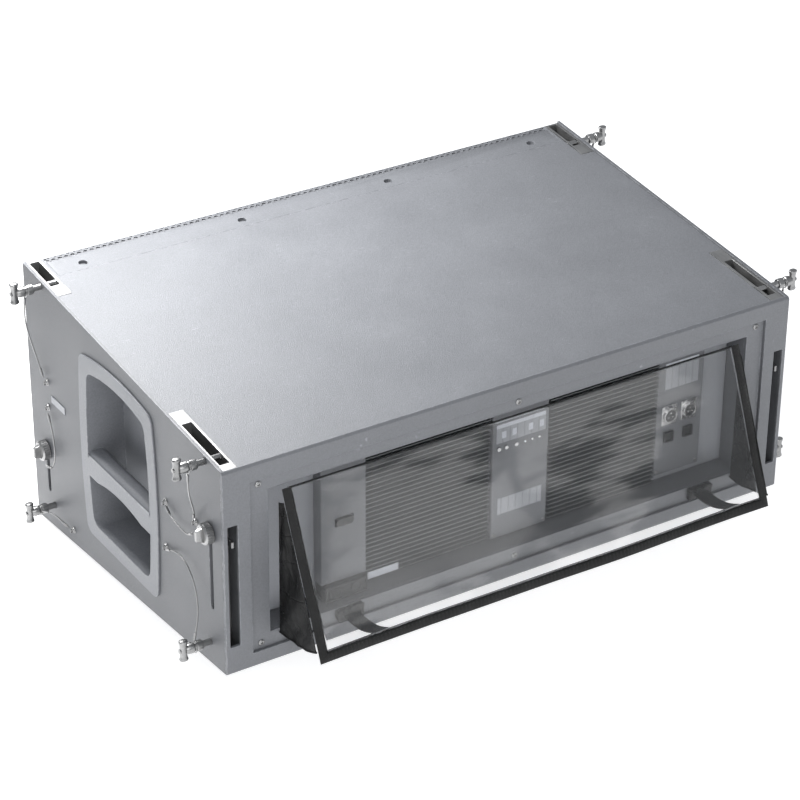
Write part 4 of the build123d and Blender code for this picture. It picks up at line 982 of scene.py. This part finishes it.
# %% Punched sheet
grille_low, grille_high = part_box("grille")
PITCH = 0.010
CELL_R = PITCH / sqrt(3)
SHEET = 0.0016
RIM = 0.006
WEB_HALF = 0.0018
MERGE_GAP = 0.0002


def cut_away(piece, place, outward):
    """Cut a piece by a plane and drop what lies on its outward side."""
    open_with(piece, lambda centre, normal: True)
    bpy.ops.mesh.bisect(plane_co=place, plane_no=outward, clear_outer=True, clear_inner=False)
    close()


def punched_field(x0, x1, z0, z1, y):
    """A punched sheet facing -Y between two corners, with a plain rim."""
    bpy.ops.object.select_all(action="DESELECT")
    bpy.ops.mesh.primitive_circle_add(vertices=6, radius=CELL_R, fill_type="NGON", location=(x0, y, z0),
                                      rotation=(pi / 2, 0, 0))
    cell = settle(bpy.context.object)
    open_with(cell, lambda centre, normal: True)
    bpy.ops.mesh.inset(thickness=WEB_HALF)
    bpy.ops.mesh.delete(type="FACE")
    close()
    second = another(cell, "second_cell", (PITCH / 2, 0, CELL_R * 1.5))
    field = joined(second, cell)
    columns = int((x1 - x0) / PITCH) + 2
    rows = int((z1 - z0) / (3 * CELL_R)) + 2
    for count, step in ((columns, (PITCH, 0, 0)), (rows, (0, 0, 3 * CELL_R))):
        use_modifier(field, "ARRAY", count=count, use_relative_offset=False, use_constant_offset=True,
                     constant_offset_displace=step, use_merge_vertices=True, merge_threshold=MERGE_GAP)
    open_with(field, lambda centre, normal: True)
    bpy.ops.mesh.remove_doubles(threshold=MERGE_GAP)
    close()
    for place, outward in (((x1, y, z1), (1, 0, 0)), ((x0, y, z0), (-1, 0, 0)), ((x1, y, z1), (0, 0, 1)),
                           ((x0, y, z0), (0, 0, -1))):
        cut_away(field, place, outward)
    faces_front = field.data.polygons[0].normal.y < 0
    use_modifier(field, "SOLIDIFY", thickness=SHEET, offset=-1.0 if faces_front else 1.0)
    return field


def rim_of(x0, x1, z0, z1, y):
    """The plain rim round a punched field."""
    rim = slab((x0, y - 0.0001, z0), (x1, y + SHEET + 0.0001, z1))
    open_with(rim, lambda centre, normal: abs(normal.y) > 0.9)
    bpy.ops.mesh.inset(thickness=RIM)
    bpy.ops.mesh.bridge_edge_loops()
    close()
    return soften(tidy_mesh(rim), 0.0004)


face_y = grille_low.y
face_top = grille_high.z
face_low = grille_low.z
field_x = (grille_low.x + RIM / 2, grille_high.x - RIM / 2)
face = punched_field(*field_x, face_low + RIM / 2, face_top - RIM / 2, face_y)
print("punched face", len(face.data.polygons), "faces")
dress(face, "grille_punched_face", STEEL)
rim = rim_of(grille_low.x, grille_high.x, face_low, face_top, face_y)
dress(rim, "grille_rim", STEEL)

# %% Folded flanges of the grille
FLANGE_HOLES = 0.0095
SLOPE = radians(5.0)
SLOPE_RISE = 0.08749
flanges = eased_copy("grille", 0.0003)
cut_away(flanges, (0, face_y + FLANGE_HOLES, 0), (0, -1, 0))
dress(flanges, "grille_flanges", CABINET, "root", ["grille"])
strip = punched_field(*field_x, face_top, face_top + FLANGE_HOLES + 0.002, face_y)
corner = Matrix.Translation((0, face_y, face_top))
fold = Matrix.Rotation(-pi / 2 - SLOPE, 4, "X")
strip.data.transform(corner @ fold @ corner.inverted())
low_strip = another(strip, "grille_low_strip")
low_strip.data.transform(Matrix.Translation((0, 0, face_top + face_low)) @ Matrix.Diagonal((1, 1, -1, 1)))
low_strip.data.flip_normals()
dress(strip, "grille_top_strip", STEEL)
dress(low_strip, "grille_low_strip", STEEL)
print("strip", [round(v, 4) for v in strip.bound_box[0]], [round(v, 4) for v in strip.bound_box[6]])

# %% [markdown]
# Screws hold the grille's flange in shallow dishes along the front of the top. They are turned like the
# other screws and tilted with the slope of the top.

# %% Grille screws
DISH_X = (-0.380, -0.124, 0.124, 0.380)
DISH_SETBACK = 0.034
DISH_DEPTH = 0.0034
PLATE_RISE = 0.003
dish_screws = []
for x in DISH_X:
    y = face_y + DISH_SETBACK
    z = MID_HEIGHT - PLATE_RISE - SLOPE_RISE * y - DISH_DEPTH
    head = turned("Z", (x, y, z), HEAD, 20)
    head.data.transform(Matrix.Translation((x, y, z)) @ Matrix.Rotation(-SLOPE, 4, "X")
                        @ Matrix.Translation((-x, -y, -z)))
    dish_screws.append(soften(head, 0.0002))
dress(joined(*dish_screws), "grille_screws", ZINC)

# %% [markdown]
# ## Foam behind the grille
# A thin sheet of open-cell foam keeps rain and dust out. It starts as a grid of small squares pushed in and
# out by smooth noise, so it is never quite flat, and Solidify gives it body.

# %% Foam
foam_low, foam_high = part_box("grille_foam")
bpy.ops.object.select_all(action="DESELECT")
bpy.ops.mesh.primitive_grid_add(x_subdivisions=110, y_subdivisions=46, size=1,
                                location=((foam_low + foam_high) / 2), rotation=(pi / 2, 0, 0))
foam = bpy.context.object
foam.scale = (foam_high.x - foam_low.x - 0.002, foam_high.z - foam_low.z - 0.002, 1)
settle(foam)
for vertex in foam.data.vertices:
    vertex.co.y += 0.0007 * noise.noise(vertex.co * 24.0)
use_modifier(foam, "SOLIDIFY", thickness=foam_high.y - foam_low.y - 0.0022, offset=0.0)
soften(foam, 0.0006)
dress(foam, "grille_foam_sheet", FOAM, "root", ["grille_foam"])

# %% [markdown]
# ## Cone surrounds
# The rubber roll lets the cone move while its outer edge stays on the basket. It is modelled as twelve equal
# sectors.

# %% Surround sectors
SECTORS = 12
TURN_STEPS, ROLL_STEPS = 6, 10
ROLL_INNER, ROLL_WIDTH, ROLL_HEIGHT = 0.0998, 0.0157, 0.0052
for side in SIDES:
    low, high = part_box(f"surround_{side}")
    middle = (low + high) / 2
    rest_y = high.y
    for sector in range(SECTORS):
        rows = []
        for i in range(TURN_STEPS + 1):
            angle = 2 * pi * (sector + i / TURN_STEPS) / SECTORS
            out = Vector((cos(angle), 0, sin(angle)))
            row = []
            for j in range(ROLL_STEPS + 1):
                y = rest_y - 0.0010 - ROLL_HEIGHT * max(0.0, sin(pi * (j - 1) / 8))
                row.append(Vector((middle.x, y, middle.z)) + out * (ROLL_INNER + ROLL_WIDTH * j / ROLL_STEPS))
            rows.append(row)
        piece = grid_piece(f"surround_{side}_{sector:02d}", rows)
        use_modifier(piece, "SOLIDIFY", thickness=0.0011, offset=0.0)
        smooth(tidy_mesh(piece))
        dress(piece, piece.name, RUBBER, None, [f"surround_{side}"] if sector == 0 else [])
        angle = 2 * pi * (sector + 0.5) / SECTORS
        out = Vector((cos(angle), 0, sin(angle)))
        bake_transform(piece)
print("surround sectors", 2 * SECTORS)

# %% [markdown]
# ## Sockets on the back
# Round signal sockets, square data sockets and the mains inlet. Each is turned or extruded as its housing,
# and the round sockets have the insert, contacts and latch that a plug needs.

# %% Signal and data sockets
panel_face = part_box("input_panel")[1].y
# The x and z of each signal socket; a data socket sits below each.
SOCKETS = [(-0.284, 0.179), (-0.318, 0.179)]
DATA_DROP = 0.036


def make_round_socket(x, z):
    """A latching signal socket: flange, ring, insert with three contacts and a release tab."""
    flange = slab((x - 0.013, panel_face, z - 0.0155), (x + 0.013, panel_face + 0.0016, z + 0.0155))
    soften(flange, 0.0012, 3)
    ring = turned("Y", (x, panel_face, z), [(0.0, 0.0118), (0.0055, 0.0118), (0.006, 0.0112), (0.006, 0.0094),
                                            (0.0052, 0.0090), (0.0020, 0.0088)], 40)
    soften(ring, 0.0003)
    tab = slab((x - 0.004, panel_face + 0.001, z + 0.0100), (x + 0.004, panel_face + 0.0072, z + 0.0146))
    soften(tab, 0.0008, 3)
    shell = joined(flange, tab, ring)
    insert = turned("Y", (x, panel_face, z), [(0.0015, 0.0084), (0.0046, 0.0084), (0.0048, 0.0080)], 32)
    contacts = []
    for k in range(3):
        angle = pi / 2 + 2 * pi * k / 3
        spot = (x + 0.0042 * cos(angle), panel_face, z + 0.0042 * sin(angle))
        contact = turned("Y", spot, [(0.004, 0.0013), (0.0056, 0.0013), (0.0058, 0.0008),
                                     (0.0050, 0.0006)], 12)
        contacts.append(soften(contact, 0.0001))
    return shell, soften(insert, 0.0002), joined(*contacts)


def make_data_socket(x, z):
    """A square data socket: bezel and opening."""
    bezel = slab((x - 0.008, panel_face, z - 0.008), (x + 0.008, panel_face + 0.004, z + 0.008))
    open_with(bezel, lambda centre, normal: normal.y > 0.9)
    bpy.ops.mesh.inset(thickness=0.0022)
    bpy.ops.mesh.extrude_region_move(TRANSFORM_OT_translate={"value": (0, -0.0030, 0)})
    close()
    return soften(bezel, 0.0004)


for number, (x, z) in enumerate(SOCKETS, 1):
    shell, insert, contacts = make_round_socket(x, z)
    dress(shell, f"signal_socket_{number}", CONTACT, "root",
          ["connectors"] if number == 1 else [])
    dress(insert, f"signal_socket_{number}_insert", BLACK)
    dress(contacts, f"signal_socket_{number}_contacts", CONTACT)
    data = make_data_socket(x, z - DATA_DROP)
    dress(data, f"data_socket_{number}", BLACK)

# %% Mains inlet and module details
module_low, module_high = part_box("power_module")
INLET_TOP = module_low.z - 0.0005
inlet = slab((module_low.x + 0.002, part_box("control_plate")[0].y, INLET_TOP - 0.0235),
             (module_high.x - 0.002, module_high.y + 0.008, INLET_TOP))
open_with(inlet, lambda centre, normal: normal.y > 0.9)
bpy.ops.mesh.inset(thickness=0.003)
bpy.ops.mesh.extrude_region_move(TRANSFORM_OT_translate={"value": (0, -0.002, 0)})
close()
soften(inlet, 0.0016, 3)
sockets = [inlet]
for k in (-1, 1):
    at = ((module_low.x + module_high.x) / 2 + k * 0.016, 0, INLET_TOP - 0.01175)
    well = turned("Y", at, [(module_high.y + 0.004, 0.0086), (module_high.y + 0.0075, 0.0084),
                            (module_high.y + 0.0075, 0.0066), (module_high.y + 0.0030, 0.0062)], 28)
    sockets.append(soften(well, 0.0003))
dress(joined(*sockets[1:], inlet), "mains_inlet", BLACK)

# %% [markdown]
# ## Rain hood: the clear sheet
# A hood of clear vinyl keeps rain off the sockets. It hangs from the top edge of the recess and stands off at
# its foot. Vinyl that was rolled up for transport never hangs quite flat, and its broad waves are what break
# up its reflections. A cloth simulation could make them, but the waves are known and gentle, so the points of
# a grid are moved in code, square to the sheet. They lie still at the hinge and grow towards the free edge.

# %% The hood's own directions
HOOD_JOINT = next(joint for joint in frame["joints"] if joint["name"] == "hood_hinge")
HINGE = Vector(HOOD_JOINT["pos_m"])
FLARE = radians(22.8)
DOWN = Vector((0, sin(FLARE), -cos(FLARE)))
OUT = Vector((0, cos(FLARE), sin(FLARE)))
HOOD_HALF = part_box("hood_binding")[1].x
HOOD_LENGTH = 0.2375
BINDING_WIDTH = 0.013
SHEET_HALF = HOOD_HALF - BINDING_WIDTH
SHEET_LENGTH = HOOD_LENGTH - BINDING_WIDTH
VINYL_THICKNESS = 0.0008
WAVE_HEIGHT = 0.0021


def on_hood(x, u, off=0.0):
    """A point of the hood: x across, u down from the hinge, off square to it, with the sheet's waves."""
    loose = (max(0.0, u) / HOOD_LENGTH) ** 1.2
    waves = sin(x * 13.0 + u * 9.0 + 0.7) + 0.6 * sin(x * 23.0 - u * 16.0 + 2.1)
    waves += 0.7 * noise.noise(Vector((x * 11.0, u * 14.0, 3.7)))
    return HINGE + Vector((x, 0, 0)) + DOWN * u + OUT * (off + WAVE_HEIGHT * loose * waves)


# %% Clear sheet
bpy.ops.object.select_all(action="DESELECT")
bpy.ops.mesh.primitive_grid_add(x_subdivisions=150, y_subdivisions=48, size=1)
sheet = bpy.context.object
sheet.scale = (2 * SHEET_HALF + 0.004, SHEET_LENGTH + 0.002, 1)
settle(sheet)
for vertex in sheet.data.vertices:
    vertex.co = on_hood(vertex.co.x, SHEET_LENGTH / 2 - vertex.co.y)
use_modifier(sheet, "SOLIDIFY", thickness=VINYL_THICKNESS, offset=0.0)
smooth(tidy_mesh(sheet))
dress(sheet, "hood_clear_sheet", VINYL, "hood", ["hood_panel"])
print("clear sheet", len(sheet.data.polygons), "faces")

# %% [markdown]
# ## Rain hood: binding and stitches
# A fabric tape is folded round the sheet's sides and foot and sewn through. Its section is a flattened ring
# that is swept round three sides with mitred corners. It follows the sheet's waves, and it puckers a little
# at each stitch. The stitches are short raised threads with very few faces each, because there are hundreds.

# %% Binding
TAPE_HALF = BINDING_WIDTH / 2
TAPE_THICK = 0.0019
TAPE_SIDES = 14
STITCH_STEP = 0.006
EDGE_X, EDGE_U = HOOD_HALF - TAPE_HALF, HOOD_LENGTH - TAPE_HALF


def tape_places(step):
    """Places along the tape's middle: x, u, the direction in from the edge, and its stretch at a mitre."""
    places = []
    count = round(EDGE_U / step)
    for i in range(count):
        places.append((-EDGE_X, EDGE_U * i / count, (1.0, 0.0)))
    places.append((-EDGE_X, EDGE_U, (1.0, -1.0)))
    across_count = round(2 * EDGE_X / step)
    for i in range(1, across_count):
        places.append((-EDGE_X + 2 * EDGE_X * i / across_count, EDGE_U, (0.0, -1.0)))
    places.append((EDGE_X, EDGE_U, (-1.0, -1.0)))
    for i in range(1, count + 1):
        places.append((EDGE_X, EDGE_U * (1 - i / count), (-1.0, 0.0)))
    return places


tape_rings = []
for x, u, (in_x, in_u) in tape_places(STITCH_STEP / 3):
    along = x + u
    pucker = 1.0 + 0.10 * sin(2 * pi * along / STITCH_STEP)
    pucker += 0.12 * noise.noise(Vector((x * 60, u * 60, 1.3)))
    ring = []
    for k in range(TAPE_SIDES):
        angle = 2 * pi * k / TAPE_SIDES
        flat = cos(angle) * (1 + 0.22 * sin(angle) ** 2)
        high = sin(angle) * (0.72 + 0.28 * cos(2 * angle) ** 2)
        ring.append(on_hood(x + in_x * flat * TAPE_HALF, u + in_u * flat * TAPE_HALF,
                            high * TAPE_THICK * pucker))
    tape_rings.append(ring)
binding = skin("hood_binding_tape", tape_rings)
dress(binding, "hood_binding_tape", BINDING, "hood", ["hood_binding"])
print("binding", len(binding.data.polygons), "faces")

# %% Stitches
# A stitch's stations: place along it, half width and share of its full height.
STITCH = ((-0.0019, 0.0001, 0.2), (-0.0012, 0.0004, 1.0), (0.0012, 0.0004, 1.0), (0.0019, 0.0001, 0.2))
STITCH_RISE = 0.0005
stitch_points, stitch_faces = [], []
for x, u, (in_x, in_u) in tape_places(STITCH_STEP):
    if in_x and in_u:
        continue
    middle_x, middle_u = x + in_x * TAPE_HALF * 0.55, u + in_u * TAPE_HALF * 0.55
    way_x, way_u = -in_u, in_x
    for face_side in (1, -1):
        start = len(stitch_points)
        for t, half, rise in STITCH:
            for w, h in ((-1, 0.0), (0, 1.0), (1, 0.0)):
                off = face_side * (TAPE_THICK * 0.9 + STITCH_RISE * h * rise)
                stitch_points.append(on_hood(middle_x + way_x * t + in_x * w * half,
                                             middle_u + way_u * t + in_u * w * half, off))
        for i in range(3):
            a = start + 3 * i
            stitch_faces += [(a, a + 1, a + 4, a + 3), (a + 1, a + 2, a + 5, a + 4), (a + 2, a, a + 3, a + 5)]
        stitch_faces += [(start, start + 2, start + 1), (start + 9, start + 10, start + 11)]
stitches = tidy_mesh(mesh_piece("hood_stitches", stitch_points, stitch_faces), 1e-7)
only(stitches)
bpy.ops.object.shade_smooth_by_angle(angle=radians(60))
dress(stitches, "hood_stitches", THREAD, "hood")

# %% [markdown]
# ## Rain hood: gussets
# Coated cloth closes each end of the hood. When the hood swings, the cloth has to turn by all of the angle at
# the hood, by none of it at the frame, and by a share between. A blend along a straight line gives the right
# share only near one distance from the hinge, so each gusset is built as a few bands between arcs about the
# hinge.
# The cloth is crinkled where it folds, and its free edge is a rolled hem.

# %% Gusset bands
GUSSET_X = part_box("hood_gussets")[1].x - 0.0006
GUSSET_ARCS = (0.018, 0.036, 0.062, 0.100, 0.152, 0.222)
GUSSET_CLOTH = 0.0009
GUSSET_START = -radians(0.8)
GUSSET_COLUMNS = 30
HEM_R = 0.0016
HEM_SIDES = 10
gusset_cut = 0.0


def on_gusset(sign, radius, share):
    """A point of a gusset: radius from the hinge, share of the way from the frame to the hood."""
    angle = GUSSET_START + (FLARE - GUSSET_START) * share
    held = sin(pi * min(1.0, max(0.0, share))) ** 0.6
    fold = 0.0028 * sin(radius * 70.0 + 5.0 * share + 0.5 * sin(radius * 31.0))
    fold += 0.0034 * noise.noise(Vector((radius * 26.0, share * 3.2, 5.0 + sign)))
    fold += 0.0016 * noise.noise(Vector((radius * 70.0, share * 7.0, 9.0 + sign)))
    x = GUSSET_X - 0.0034 * max(0.0, share) ** 2 + fold * held * min(1.0, radius / 0.07) * 0.75
    return Vector((sign * x, HINGE.y + radius * sin(angle), HINGE.z - radius * cos(angle)))


for side, sign in SIDES.items():
    for number, (inner, outer) in enumerate(zip(GUSSET_ARCS, GUSSET_ARCS[1:])):
        steps = max(4, round((outer - inner) / 0.0022))
        shares = [j / GUSSET_COLUMNS for j in range(GUSSET_COLUMNS + 1)]
        rows = [[on_gusset(sign, inner + (outer - inner) * i / steps, share) for share in shares]
                for i in range(steps + 1)]
        band = grid_piece(f"hood_gusset_{side}_{number}", rows)
        use_modifier(band, "SOLIDIFY", thickness=GUSSET_CLOTH, offset=0.0)
        smooth(tidy_mesh(band))
        if outer == GUSSET_ARCS[-1]:
            rings = []
            for point, aside, up in framed([on_gusset(sign, outer - 0.001, share) for share in shares]):
                angles = [2 * pi * k / HEM_SIDES for k in range(HEM_SIDES)]
                rings.append([point + (aside * cos(angle) * HEM_R + up * sin(angle) * HEM_R)
                              for angle in angles])
            band = joined(skin("hem", rings), band)
        middle = (inner + outer) / 2
        cut = (FLARE - GUSSET_START) * middle * (outer - inner)
        gusset_cut += cut
        stands = ["hood_gussets"] if side == "right" and number == 0 else []
        dress(band, f"hood_gusset_{side}_{number}", GUSSET, None, stands)
        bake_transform(band)
print("gusset cloth", round(gusset_cut, 4), "square metres")

# %% [markdown]
# ## Rain hood: straps
# Two short webbing straps limit how far the hood can be pulled out, and pull its foot in for transport. Each
# is a woven band from the frame's lower ledge to the binding, sagging a little, with a keeper of folded cloth
# where it is fixed.

# %% Straps
WEBBING = make_fabric("webbing", 0.035, 0.07, (0.55, 0.75))
LEDGE_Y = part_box("hood_mount_frame")[1].y
STRAP_HALF = 0.012
STRAP_SAG = 0.010
STRAP_CROWN = 0.0006
STRAP_STEPS = 18
STRAPS_X = (0.268, -0.318)
HOOD_FOOT = HINGE + DOWN * (HOOD_LENGTH - BINDING_WIDTH)
for number, strap_x in enumerate(STRAPS_X):
    near = Vector((strap_x, LEDGE_Y + 0.002, 0.0600))
    far = Vector((strap_x - 0.004, HOOD_FOOT.y - 0.003, HOOD_FOOT.z))
    rows = []
    for i in range(STRAP_STEPS + 1):
        t = i / STRAP_STEPS
        middle = near.lerp(far, t) - Vector((0, 0, STRAP_SAG * sin(pi * t)))
        rows.append([middle + Vector((STRAP_HALF * j / 4, 0, STRAP_CROWN * cos(pi * j / 4)))
                     for j in range(-4, 5)])
    strap = grid_piece(f"hood_strap_{number}", rows)
    use_modifier(strap, "SOLIDIFY", thickness=0.0016, offset=0.0)
    soften(tidy_mesh(strap), 0.0003)
    dress(strap, strap.name, WEBBING, None)
    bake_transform(strap)
    keeper = slab((strap_x - 0.020, LEDGE_Y, 0.0525), (strap_x + 0.020, LEDGE_Y + 0.0095, 0.0690))
    open_with(keeper, lambda centre, normal: True)
    bpy.ops.mesh.subdivide(number_cuts=5)
    close()
    for vertex in keeper.data.vertices:
        if vertex.co.y > LEDGE_Y + 0.001:
            push = noise.noise_vector(vertex.co * 85.0)
            vertex.co += Vector((push.x * 0.003, abs(push.y) * 0.003 - 0.0025, push.z * 0.003))
    use_modifier(keeper, "SUBSURF", levels=1, render_levels=1)
    smooth(keeper)
    dress(keeper, f"hood_strap_keeper_{number}", GUSSET)

# %% [markdown]
# ## Labels and panel details
# The amplifier's plates carry printed films: a pale header, rows of small fields and blank plates where a
# real one has its data. They are all blank here. Each film is a thin slab with rounded corners, so that its
# edge catches light.

# %% Films
control_low, control_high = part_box("control_plate")
input_low, input_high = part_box("input_panel")
FILM = 0.0005


def film(x0, x1, z0, z1, y, rise=FILM):
    """A film or small plate on a face that looks towards +Y."""
    return soften(slab((x0, y, z0), (x1, y + rise, z1)), min(0.0004, rise * 0.4))


def shade_film(name, dark, light):
    """A plain printed film of one tone, slightly uneven."""
    material, tree, shader = new_material(name, Roughness=0.35)
    where = node(tree, "TexCoord").outputs["Object"]
    cloud = node(tree, "TexNoise", Vector=where, Scale=90.0, Detail=4.0)
    colour = blend_colour(tree, cloud.outputs["Fac"], grey(dark, COOL), grey(light, COOL))
    tree.links.new(colour, shader.inputs["Base Color"])
    bump(tree, shader, cloud.outputs["Fac"], 0.0001, 0.4)
    return material


WHITE_FILM = shade_film("film_white", 0.62, 0.85)
GREY_FILM = shade_film("film_grey", 0.26, 0.36)
FIELDS_X = (-0.058, -0.040, -0.013, 0.004)
FIELD_HALF = 0.0035
header_low = control_low.x + 0.006
header_high = control_high.x - 0.006
face_y_control = control_high.y
pieces = [film(header_low, header_high, 0.2265, 0.2500, face_y_control)]
pieces.append(film(header_low + 0.004, header_high - 0.004, 0.112, 0.138, face_y_control))
dress(joined(*pieces), "control_labels", LABEL)
pieces = [film(header_low, header_high, 0.2500, 0.2560, face_y_control)]
for x in FIELDS_X:
    pieces.append(film(x - FIELD_HALF, x + FIELD_HALF, 0.2335, 0.2440, face_y_control + FILM))
input_x = (input_low.x + 0.010, input_high.x - 0.012)
pieces.append(film(*input_x, 0.2560, 0.2630, input_high.y))
dress(joined(*pieces), "control_fields", WHITE_FILM)
dress(film(*input_x, 0.2210, 0.2555, input_high.y), "input_label", LABEL)
fins_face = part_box("heat_sinks")[1].y
tag = film(0.173, 0.222, 0.0790, 0.0900, fins_face + 0.001, 0.0012)
dress(tag, "data_tag", WHITE_FILM)
print("films at", round(face_y_control, 4))

# %% Small fittings on the plates
LAMP = [(0.0, 0.0022), (0.0012, 0.0022), (0.0020, 0.0014)]
BUTTON = [(0.0, 0.0034), (0.0022, 0.0032), (0.0026, 0.0026)]
ROW_Z = 0.2180
fittings = []
for places, stations, sides in (((-0.055, -0.043, -0.031), LAMP, 16), ((-0.016, 0.0, 0.012), BUTTON, 20)):
    for x in places:
        fittings.append(soften(turned("Y", (x, face_y_control, ROW_Z), stations, sides), 0.0002))
dress(joined(*fittings), "control_buttons", CONTACT)
SMALL_HEAD = [(d * 0.7, r * 0.7) for d, r in HEAD]
plate_heads = []
for x0, x1, z0, z1, y in ((control_low.x, control_high.x, control_low.z, control_high.z, control_high.y),
                          (input_low.x, input_high.x, input_low.z, input_high.z, input_high.y)):
    for x in (x0 + 0.005, x1 - 0.005):
        for z in (z0 + 0.006, z1 - 0.006):
            plate_heads.append(soften(turned("Y", (x, y, z), SMALL_HEAD, 16), 0.00015))
dress(joined(*plate_heads), "plate_screws", ZINC)
badge = soften(slab((PLATE_X, -0.214, 0.196), (PLATE_X + 0.0012, -0.172, 0.207)), 0.0004)
dress(badge, "blank_badge", GREY_FILM)
badge_left = another(badge, "blank_badge_left", mirror=True)
dress(badge_left, "blank_badge_left", GREY_FILM)

# %% [markdown]
# ## Floor and light
# The cabinet stands on a plain white floor under soft light. A lamp over the right-hand end of the top makes
# its sheen fade along the length. A wide fill stands near the camera, and three small lamps stand where the
# clear sheet mirrors them.

# %% Stage
floor_paint, tree, shader = new_material("floor_white", Roughness=0.9)
where = node(tree, "TexCoord").outputs["Object"]
cloud = node(tree, "TexNoise", Vector=where, Scale=2.0)
tree.links.new(blend_colour(tree, cloud.outputs["Fac"], grey(0.80), grey(0.84)), shader.inputs["Base Color"])
shader.inputs["Emission Color"].default_value = (1, 1, 1, 1)
shader.inputs["Emission Strength"].default_value = 0.7
bpy.ops.object.select_all(action="DESELECT")
bpy.ops.mesh.primitive_plane_add(size=16, location=(0, 0, cad_low.z - 0.0005))
floor = settle(bpy.context.object)
floor.name = "stage_floor"
floor.data.materials.append(floor_paint)

world = bpy.data.worlds.new("studio_world")
world.use_nodes = True
world.node_tree.nodes["Background"].inputs["Color"].default_value = (0.93, 0.96, 1.0, 1)
world.node_tree.nodes["Background"].inputs["Strength"].default_value = 0.52
bpy.context.scene.world = world
bpy.context.scene.view_settings.view_transform = "Standard"


def soft_lamp(name, place, target, size, energy, tint=(1, 1, 1)):
    """A square soft lamp at a place, pointed at a target."""
    data = bpy.data.lights.new(name, "AREA")
    data.energy, data.size, data.color = energy, size, tint
    lamp = bpy.data.objects.new(name, data)
    bpy.context.scene.collection.objects.link(lamp)
    lamp.matrix_world = (Matrix.Translation(place) @
                         (Vector(target) - Vector(place)).to_track_quat("-Z", "Y").to_matrix().to_4x4())
    return lamp


soft_lamp("sheen", (0.36, -0.50, 1.10), (0.36, -0.05, 0.35), size=0.5, energy=24.0)
soft_lamp("fill", (1.4, 3.2, 2.0), (0, 0.1, 0.2), size=2.4, energy=44.0)
# The glare lamps stand round the bearing that the clear sheet mirrors towards the camera.
HOOD_MIDDLE = Vector((0, HINGE.y + 0.045, HINGE.z - 0.11))
GLARE_BEARING = 118.1
GLARE_DISTANCE = 3.2
# Each glare lamp's turn from that bearing and its lift, in degrees.
GLARES = ((-13.0, 13.0), (-3.0, 7.0), (6.0, 12.0))
for number, (turn, lift) in enumerate(GLARES):
    bearing = radians(GLARE_BEARING + turn)
    place = HOOD_MIDDLE + GLARE_DISTANCE * Vector((cos(bearing), sin(bearing), sin(radians(lift))))
    soft_lamp(f"hood_glare_{number}", place, HOOD_MIDDLE, size=0.42, energy=0.62)
